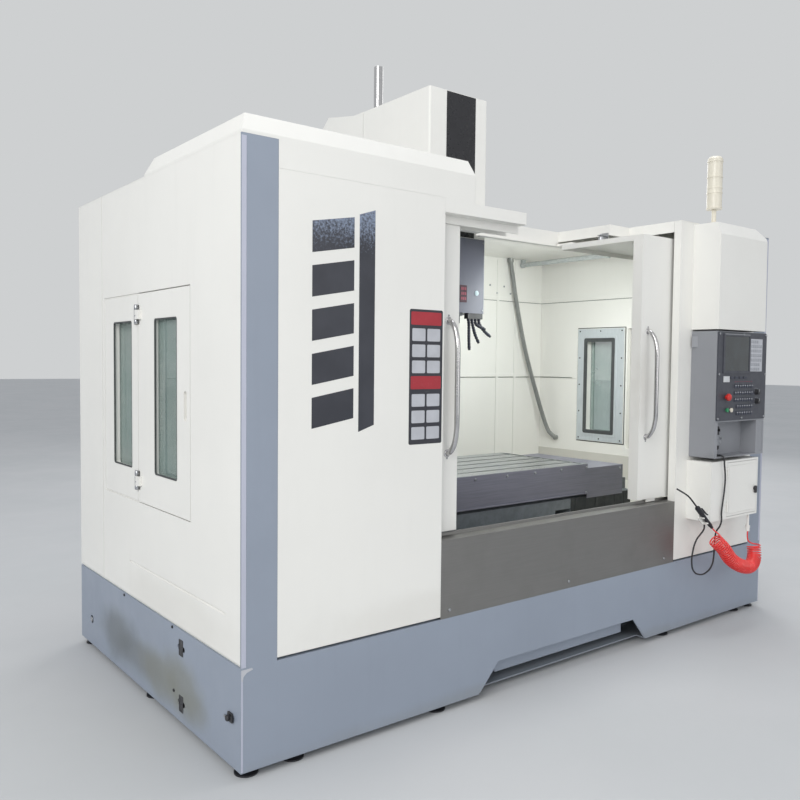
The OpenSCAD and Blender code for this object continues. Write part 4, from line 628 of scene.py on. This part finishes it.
# From the pendant in its recess, down the locker's front, in a loop up to the locker's underside
cable_line = [P(*q) for q in (
    (1065, -100.4, 1024.4), (1065, -104.6, 1020.8), (1065.5, -113, 1014.6), (1066, -124, 1013.6),
    (1066, -136, 1014), (1066.5, -146, 1014), (1067, -157, 1011), (1068, -165.1, 1003),
    (1069, -168, 992), (1071, -169, 968), (1088, -166, 890), (1090, -162, 820),
    (1078, -160, 740), (1070, -160, 690), (1072, -160, 650), (1076, -150, 618),
    (1084, -124, 580), (1089, -112, 520), (1090, -110, 450), (1070, -110, 385),
    (1020, -106, 352), (960, -102, 350), (905, -100, 378), (885, -100, 425),
    (893, -100, 490), (922, -100, 545), (962, -100, 574), (990, -100, 592),
    (1000, -100, 606), (1000, -100, 616), (1000, -100, 625.5))]
cable = curve_piece("pendant_lead", cable_line, LEAD_D / 2, "machine", "cable_black", "BEZIER")
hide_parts("pendant_cable")

# Fasteners of the front, the table's cover, the skirt, the back wall, the console and the leaves
screws("apron_screws", [(x, 0, z, FRONT) for x, z in ((-809, 449), (-27, 448), (770, 449))],
       14, 4.5, "machine")
screws("table_cover_screws",
       [(x, TABLE_FACE, 906, FRONT) for x in (-640, -424, -209, 27, 248, 466, 690)]
       + [(x, TABLE_FACE, 757, FRONT) for x in (-690, 690)]
       + [(x, TABLE_FACE, 880, FRONT) for x in (1010, -1010)], 15, 5, "table_body")
screws("skirt_bolts",
       [(-SIDE, 1189, 404, LEFT), (-SIDE, 616, 404, LEFT), (-SIDE, 602, 140, LEFT),
        (SIDE, 1189, 404, RIGHT), (SIDE, 616, 404, RIGHT)], 13, 4.5, "machine", "black_steel")
screws("inner_screws",
       [(x, BACK_WALL, z, FRONT)
        for x, z in ((1144, 2095), (1291, 2093), (1218, 2040), (1360, 2042))], 14, 5, "machine")
screws("panel_screws",
       [(x, PANEL_FACE, z, FRONT) for x in (1001, 1494) for z in (1220, 1466, 1689)]
       + [(1247.5, PANEL_FACE, z, FRONT) for z in (1220, 1689)], 13, 6, "machine")
for side, sign in SIDES:
    screws("leaf_screws_" + side,
           [(sign * (SIDE + 16.5), 988, z, (sign, 0, 0)) for z in (967, 1709)],
           6, 1.6, side + "_side_leaf")
screws("skirt_caps", [(-SIDE, 1678, 161, LEFT), (SIDE, 1678, 161, RIGHT)], 27, 3.5, "machine",
       sides=24)

# Plugs in the skirt's slots, painted highlights along the folded corners of the front posts and
# the skirt, and a painted highlight on the skirt's upper front corner
bm = bmesh.new()
for _, sign in SIDES:
    for z in (106, 339.5):
        add_frame(bm, "x", round_rect((508, 550), (z - 34, z + 34), 5),
                  round_rect((512, 546), (z - 30, z + 30), 3),
                  sign * (SIDE + 0.1), sign * (SIDE + 1.2))
        add_prism(bm, round_rect((511, 547), (z - 31, z + 31), 3), "x",
                  sign * (SIDE + 0.05), sign * (SIDE + 0.5))
finish_piece("slot_plugs", bm, "machine", "black_plastic")
edge = SIDE - 0.6
# Pale strips on the outer corners of the front posts and the skirt: painted highlights standing
# for light on the rounded folds
decal("corner_fold_highlights",
      [[(sign * edge, z0), (sign * x, z0), (sign * x, z1), (sign * edge, z1)]
       for _, sign in SIDES for x, z0, z1 in ((1780, 416, 2296), (1792, 34, 408))],
      -0.1, -0.6, "machine", "bluegrey_paint", "fold")
# Pale patch on the skirt's upper front corner: a painted highlight
decal("skirt_corner_highlight",
      [[(-1799, 409), (-1799, 372), (-1793, 366), (-1790, 384), (-1778, 396), (-1752, 404),
        (-1756, 410)]], -0.3, -0.9, "machine", "white_paint", "tile")

# Clamp on the left side of the skirt
bm = bmesh.new()
add_prism(bm, round_rect((58, 98), (196, 232), 6), "x", -SIDE - 0.3, -SIDE - 6)
add_lathe(bm, P(-SIDE - 6, 78, 214), LEFT, [(11, 0), (12, 2), (12, 12), (9, 15), (0, 16)], 20)
add_block(bm, (-SIDE - 12, -SIDE - 5), (50, 60), (203, 225))
finish_piece("skirt_clamp", bm, "machine", "black_plastic", 0.0008)
plate("skirt_clamp_tab", (-SIDE - 13.5, -SIDE - 6.3), (86, 112), (206, 216), "machine", "steel",
      0.001)

# Film on the left front panel, all plain: slanted bars, a band, and a plate with blank tiles
decal("accent_bars",
      [[(-1511, z), (-1322, z + 34), (-1322, z + 150), (-1511, z + 116)]
       for z in range(1262, 1919, 164)], -0.1, -0.5, "machine", "panel_black", "accent")
decal("accent_band", [[(-1298, 1241), (-1223, 1266), (-1223, 2106), (-1298, 2081)]],
      -0.1, -0.5, "machine", "panel_black", "accent")
decal("colour_plate", [round_rect((-1046, -868), (1176, 1732), 8)],
      -0.1, -0.5, "machine", "panel_black", "plate")
decal("colour_plate_bars", [round_rect((-1038, -876), (z, z + 54), 5) for z in (1668, 1404)],
      -0.5, -0.9, "machine", "red_plastic", "accent_red")
decal("colour_plate_tiles",
      [round_rect((x, x + 70), (z, z + 52), 5)
       for x in (-1032, -952) for z in (1196, 1264, 1332, 1470, 1536, 1602)],
      -0.5, -0.8, "machine", "panel_black", "tile")

# Window rubbers
for side, sign in SIDES:
    for inset, tag in ((0.5, "outer"), (49, "inner")):
        near = SIDE - inset
        gasket(f"{side}_leaf_rubber_{tag}", "x", LEAF_WINDOW_Y, WINDOW_Z, sign * near,
               sign * (near - 6), side + "_side_leaf")
    gasket(side + "_rear_window_rubber", "x", REAR_WINDOW_Y, WINDOW_Z, sign * (SIDE - 0.5),
           sign * (SIDE - 7), "machine")
for side, x in (("left", (-1502, -1022)), ("right", (898, 1378))):
    gasket(side + "_door_rubber", "y", x, (1050, 1850), SLIDE_FACE + 0.3, SLIDE_FACE + 6,
           side + "_slide_door", 9, 20)

# Sleeves of the leaves' hinges
for side, sign in SIDES:
    fixed, moving = bmesh.new(), bmesh.new()
    for z in (930, 1672):
        x = sign * (SIDE + 7)
        for a, b in ((0, 20), (62, 82)):
            h = b - a
            add_lathe(fixed, P(x, 1000, z + a), UP,
                      [(9.2, 0.3), (9.6, 0.8), (9.6, h - 0.8), (9.2, h - 0.3)], 24)
        add_lathe(moving, P(x, 1000, z + 20.6), UP,
                  [(9.2, 0.3), (9.6, 0.8), (9.6, 40), (9.2, 40.6)], 24)
        add_lathe(fixed, P(x, 1000, z + 82), UP, [(9.4, 0), (9.4, 2), (7, 5), (0, 5.6)], 24)
    finish_piece(side + "_hinge_fixed", fixed, "machine", "steel")
    finish_piece(side + "_hinge_moving", moving, side + "_side_leaf", "steel")

# Head: the stripe sunk in the motor cover, display, lamp, screws and the coolant hoses' joints
decal("motor_stripe", [round_rect((-94, 126), (2232, 3028), 2)], HEAD_FACE + 1.3,
      HEAD_FACE - 0.6, "head", "panel_black", "stripe")
decal("head_display", [round_rect((22, 76), (1862, 1960), 4)], HEAD_FACE - 0.1,
      HEAD_FACE - 2.5, "head", "display", "dim_red", 0.0006)
decal("head_display_segments",
      [round_rect((x, x + 9), (z, z + 16), 1.5) for z in (1876, 1904, 1932)
       for x in (32, 46, 60)],
      HEAD_FACE - 2.4, HEAD_FACE - 2.9, "head", "red_plastic", "led_red")
bm = bmesh.new()
add_lathe(bm, P(153, HEAD_FACE, 1919), FRONT, [(15, -0.3), (15, 3), (12, 4), (11, 4.2), (0, 7)],
          24)
finish_piece("head_lamp", bm, "head", "light_tube", film="led_white")
screws("head_cover_screws", [(x, HEAD_FACE, z, FRONT) for x in (-200, 200) for z in (1820, 2210)],
       10, 3, "head")
JOINT = [(7.6, -7), (9.6, -4), (9.9, 1), (8.8, 5), (7.6, 7)]
NOZZLE = [(7.6, -22), (9.6, -20), (9.6, -12), (5.6, -2), (4.4, 0.5), (3.0, 0.5)]
JOINT_PITCH = 15.5
bm = bmesh.new()
for x0, x1, z1 in ((190, 272, 1670), (162, 228, 1712), (134, 178, 1630), (106, 104, 1588)):
    line = smooth_path([(x0, 895, 1771), (x0 + 3, 891, 1742),
                        (x0 + (x1 - x0) * 0.45, 885, 1742 + (z1 - 1742) * 0.55),
                        (x1, 879, z1)], 24)
    far = lengths_along(line)
    k, way = 0, 8.0
    while way < far[-1] - 20:
        while far[k + 1] < way:
            k += 1
        add_lathe(bm, P(*line[k]), line[k + 1] - line[k], JOINT, 14)
        way += JOINT_PITCH
    add_lathe(bm, P(*line[-1]), line[-1] - line[-3], NOZZLE, 16)
finish_piece("coolant_joints", bm, "head", "black_plastic", smooth=50, film="nozzle")

# Black covers over the ends of the saddle's wings
for side, sign in SIDES:
    bm = bmesh.new()
    x, z = sorted((sign * 563, sign * 1130.5)), (584, 732.5)
    add_block(bm, x, (488.4, 490.2), z)
    add_block(bm, x, (1183.8, 1185.6), z)
    add_block(bm, sorted((sign * 1128.5, sign * 1130.5)), (488.4, 1185.6), z)
    add_block(bm, x, (489, 640), (730.8, 732.5))
    for k in range(6):
        rib = sign * (600 + 92 * k)
        add_block(bm, sorted((rib, rib + sign * 5)), (486.8, 489.4), (590, 728))
    finish_piece(side + "_way_cover", bm, "saddle_body", "black_plastic", 0.001,
                 film="cover_black")

# Guide roller over the right door's top plate, on an arm from the roof's fold
bm = bmesh.new()
add_block(bm, (676.5, 679.9), (352, 400), (2221, 2262))
add_block(bm, (628, 678), (362, 390), (2244, 2248))
add_lathe(bm, P(642, 376, 2216.5), UP,
          [(6, 0), (13, 0.5), (15, 2), (15, 20), (13, 22), (7, 23), (7, 27)], 24)
add_lathe(bm, P(642, 376, 2248), UP, screw_profile(13, 6), 16)
finish_piece("door_roller", bm, "machine", "steel", 0.0006)

# Screws beyond both ends of the door handles
for side, x in HANDLE_X.items():
    screws("handle_screws_" + side,
           [(x, SLIDE_FACE + 0.2, HANDLE_Z + dz, FRONT) for dz in (-310, 310)], 9, 3,
           side + "_slide_door")

# Console: keypad, label, trim, key caps with plain marks, pilot lights and dial pointers
LABEL_Y = (PANEL_FACE - 4.7, PANEL_FACE + 0.1)
KEY_Y, MARK_Y = (-166.6, -164.6), (-167.1, -166.5)
plate("keypad", (1321, 1452), (PANEL_FACE - 4.4, PANEL_FACE + 0.1), (1482, 1668), "machine",
      "panel_black", 0.001, "tile")
plate("panel_label", (1048, 1106), LABEL_Y, (1422, 1455), "machine", "cream_plastic", 0.0008,
      "mark")
plate("screen_trim", (1050, 1310), (-167.4, -165.6), (1686, 1691), "machine", "steel")
pale_keys, dark_keys, marks = bmesh.new(), bmesh.new(), bmesh.new()
for i in range(6):
    for j in range(7):
        x, z = 1325 + 20.5 * i, 1487 + 26 * j
        if (i, j) not in ((5, 0), (5, 1), (5, 6), (4, 6)):
            add_block(pale_keys, (x + 0.6, x + 14.4), KEY_Y, (z + 0.6, z + 16.4))
            add_block(marks, (x + 5, x + 10), MARK_Y, (z + 7, z + 10))
for i in range(8):
    for j in range(5):
        # The push buttons stand in place of the two lowest keys on the left
        if i == 0 and j < 2:
            continue
        x, z = 1163 + 25 * i, 1236 + 38 * j
        add_block(dark_keys, (x + 0.6, x + 18.4), KEY_Y, (z + 0.6, z + 21.4))
        if (i + j) % 3:
            add_prism(marks, round_rect((x + 5, x + 14), (z + 12, z + 17), 2), "y",
                      -166.5, -167.0)
        else:
            add_lathe(marks, P(x + 9.5, -166.5, z + 13), FRONT,
                      [(3.6, -0.1), (3.6, 0.5), (0, 0.5)], 12)
for x in range(1117, 1256, 46):
    add_block(dark_keys, (x + 0.6, x + 31.4), KEY_Y, (1440.6, 1453.4))
for _, x, z in DIALS:
    for k in range(9):
        a = math.radians(-120 + 30 * k)
        add_lathe(marks, P(x + 23.5 * math.sin(a), PANEL_FACE, z + 23.5 * math.cos(a)), FRONT,
                  [(1.5, -0.1), (1.5, 0.4), (0, 0.4)], 8)
finish_piece("pale_keys", pale_keys, "machine", "panel_black", 0.0012, film="key_light")
finish_piece("dark_keys", dark_keys, "machine", "panel_black", 0.0012, film="key_dark")
finish_piece("printed_marks", marks, "machine", "panel_black", film="mark")
bm = bmesh.new()
for i in range(8):
    add_lathe(bm, P(1172 + 25 * i, PANEL_FACE, 1424), FRONT,
              [(2.6, -0.2), (2.6, 1), (1.6, 2), (0, 2.2)], 12)
finish_piece("pilot_lights", bm, "machine", "red_plastic", smooth=50, film="led_red")
for name, x, z in DIALS:
    plate(name + "_pointer", (x - 1.6, x + 1.6), (-181.4, -179.2), (z + 1, z + 15),
          name + "_dial", "cream_plastic", 0.0004, "mark")

# Rings of the signal tower
bm = bmesh.new()
for z in (2378, 2464, 2550, 2636):
    add_lathe(bm, P(1042, -80, z), UP, [(41.5, -3), (42.6, -2), (42.6, 2), (41.5, 3)], 40)
finish_piece("tower_rings", bm, "machine", "cream_plastic")

# Door handles: straight in the middle, bent towards the door at both ends, with their seats.
# The upper half of the bar as (y, height over the middle)
half_bar = [(60, 288), (45, 284), (28, 268), (13, 243), (4, 212), (-1, 178), (-2, 140), (-2, 70)]
for side, x in HANDLE_X.items():
    line = ([P(x, y, HANDLE_Z + dz) for y, dz in half_bar] + [P(x, -2, HANDLE_Z)]
            + [P(x, y, HANDLE_Z - dz) for y, dz in reversed(half_bar)])
    bar = curve_piece(side + "_pull", line, 0.0118, side + "_slide_door", "chrome", "BEZIER",
                      5, 6)
    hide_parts(side + "_handle")
    bm = bmesh.new()
    for dz in (-288, 288):
        add_lathe(bm, P(x, SLIDE_FACE, HANDLE_Z + dz), FRONT,
                  [(17.5, -0.2), (17.5, 2), (15.5, 4), (12, 4.6), (11.9, 3)], 28)
    finish_piece(side + "_pull_seats", bm, side + "_slide_door", "chrome")

# Work area: pressed seams and cover strips of the walls, and the joints between their sheets
seams, joints = bmesh.new(), bmesh.new()
for _, sign in SIDES:
    across_back = sorted((sign * 770, sign * (INNER - 1)))
    for z, front_y in ((1988, 120), (1413, 1456)):
        along_side = (front_y, BACK_WALL - 1)
        add_block(seams, across_back, (BACK_WALL - 3.5, BACK_WALL - 0.1), (z, z + 26))
        add_block(seams, across_back, (BACK_WALL - 1.4, BACK_WALL - 0.1), (z - 5, z + 1))
        add_block(seams, sorted((sign * (INNER - 3.5), sign * (INNER - 0.1))), along_side,
                  (z, z + 26))
        add_block(joints, across_back, (BACK_WALL - 1.6, BACK_WALL - 0.05), (z - 5.5, z - 2.5))
        add_block(joints, sorted((sign * (INNER - 1.6), sign * (INNER - 0.05))), along_side,
                  (z - 5.5, z - 2.5))
    for x in (1215, 1405):
        add_block(seams, sorted((sign * x, sign * (x + 24))),
                  (BACK_WALL - 4.5, BACK_WALL - 0.1), (560, 2290))
finish_piece("inner_seams", seams, "machine", "white_paint", 0.0012)
finish_piece("inner_joints", joints, "machine", "panel_black", film="rubber")

# Bolted frame of the fixed window, on the wall's own frame
for side, sign in SIDES:
    face = INNER - 8
    bm = bmesh.new()
    add_frame(bm, "x", round_rect((983, 1397), (948, 1774), 5),
              round_rect((1066, 1332), (1008, 1700), 12),
              sign * (face - 2.6), sign * (face - 0.05))
    add_frame(bm, "x", round_rect((1044, 1354), (986, 1722), 16),
              round_rect((1060, 1338), (1002, 1706), 12),
              sign * (face - 5.6), sign * (face - 2.5))
    finish_piece(side + "_window_frame", bm, "machine", "steel", 0.0006, film="aluminium")
    gasket(side + "_frame_joint", "x", (973, 1407), (938, 1784), sign * (INNER - 1.6),
           sign * (INNER - 0.05), "machine", 7.6, 4)
    gasket(side + "_window_rubber", "x", (1060, 1338), (1002, 1706), sign * (face - 7),
           sign * (face - 0.1), "machine", 28)
    screws(side + "_frame_screws",
           [(sign * (face - 2.6), y, z, (-sign, 0, 0)) for y in (1002, 1190, 1378)
            for z in (966, 1164, 1362, 1560, 1757) if y != 1190 or z in (966, 1757)],
           11, 3, "machine", "black_steel")


# Studio
def studio():
    """Plain pale floor, pale background and soft lamps."""
    bm = bmesh.new()
    bmesh.ops.create_grid(bm, x_segments=8, y_segments=8, size=60)
    floor = bpy.data.objects.new("floor", bpy.data.meshes.new("floor"))
    bm.to_mesh(floor.data)
    bm.free()
    scene.collection.objects.link(floor)
    m, t, p = new_material("studio floor")
    where = coords(t)
    clouds = span(t, noise(t, where, 0.6, 3.0), 0.3, 0.7, 0.0, 1.0)
    put(t, mix(t, clouds, rgb(196, 198, 199), rgb(201, 202, 203)), p.inputs["Base Color"])
    put(t, span(t, noise(t, where, 3.0, 4.0), 0.3, 0.7, 0.6, 0.75), p.inputs["Roughness"])
    floor.data.materials.append(m)

    # One colour is seen, also in metal and glass, and another one lights the scene
    world = bpy.data.worlds.new("studio")
    world.use_nodes = True
    t = world.node_tree
    t.nodes.clear()
    out = t.nodes.new("ShaderNodeOutputWorld")
    seen, lit_by = (t.nodes.new("ShaderNodeBackground") for _ in range(2))
    both = t.nodes.new("ShaderNodeMixShader")
    rays = t.nodes.new("ShaderNodeLightPath")
    seen.inputs["Color"].default_value = rgb(206, 208, 209)
    lit_by.inputs["Color"].default_value = rgb(226, 230, 236)
    lit_by.inputs["Strength"].default_value = 0.74
    seen_rays = rays.outputs["Is Camera Ray"]
    for kind in ("Is Glossy Ray", "Is Transmission Ray"):
        seen_rays = maths(t, "MAXIMUM", seen_rays, rays.outputs[kind])
    t.links.new(seen_rays, both.inputs[0])
    t.links.new(lit_by.outputs[0], both.inputs[1])
    t.links.new(seen.outputs[0], both.inputs[2])
    t.links.new(both.outputs[0], out.inputs["Surface"])
    scene.world = world

    # Name, place, aim, size in metres, watts and colour
    for name, where, aim, size, power, tint in (
            ("key", (-7.5, -4.5, 5.0), (-0.5, 0, 1.2), 5.0, 375, (1.0, 0.985, 0.96)),
            ("fill", (0.2, -7.5, 2.6), (0.5, 0, 1.2), 3.4, 62, (1.0, 0.98, 0.95)),
            ("top", (0.4, -0.6, 7.0), (0.3, 0, 1.0), 3.4, 110, (0.97, 0.98, 1.0)),
            ("back", (6.5, 6.0, 4.5), (0, 0, 1.2), 5.0, 220, (1.0, 0.99, 0.97)),
            ("inside", (0.78, -0.48, 2.02), (0.95, 0.35, 1.0), 0.8, 15, (0.96, 1.0, 0.98))):
        data = bpy.data.lights.new(name, "AREA")
        data.shape, data.size, data.energy, data.color = "SQUARE", size, power, tint
        lamp = bpy.data.objects.new(name, data)
        scene.collection.objects.link(lamp)
        lamp.location = where
        way = Vector(aim) - Vector(where)
        lamp.rotation_euler = way.to_track_quat("-Z", "Y").to_euler()
        lamp.visible_camera = False
    scene.view_settings.view_transform = "Standard"


studio()
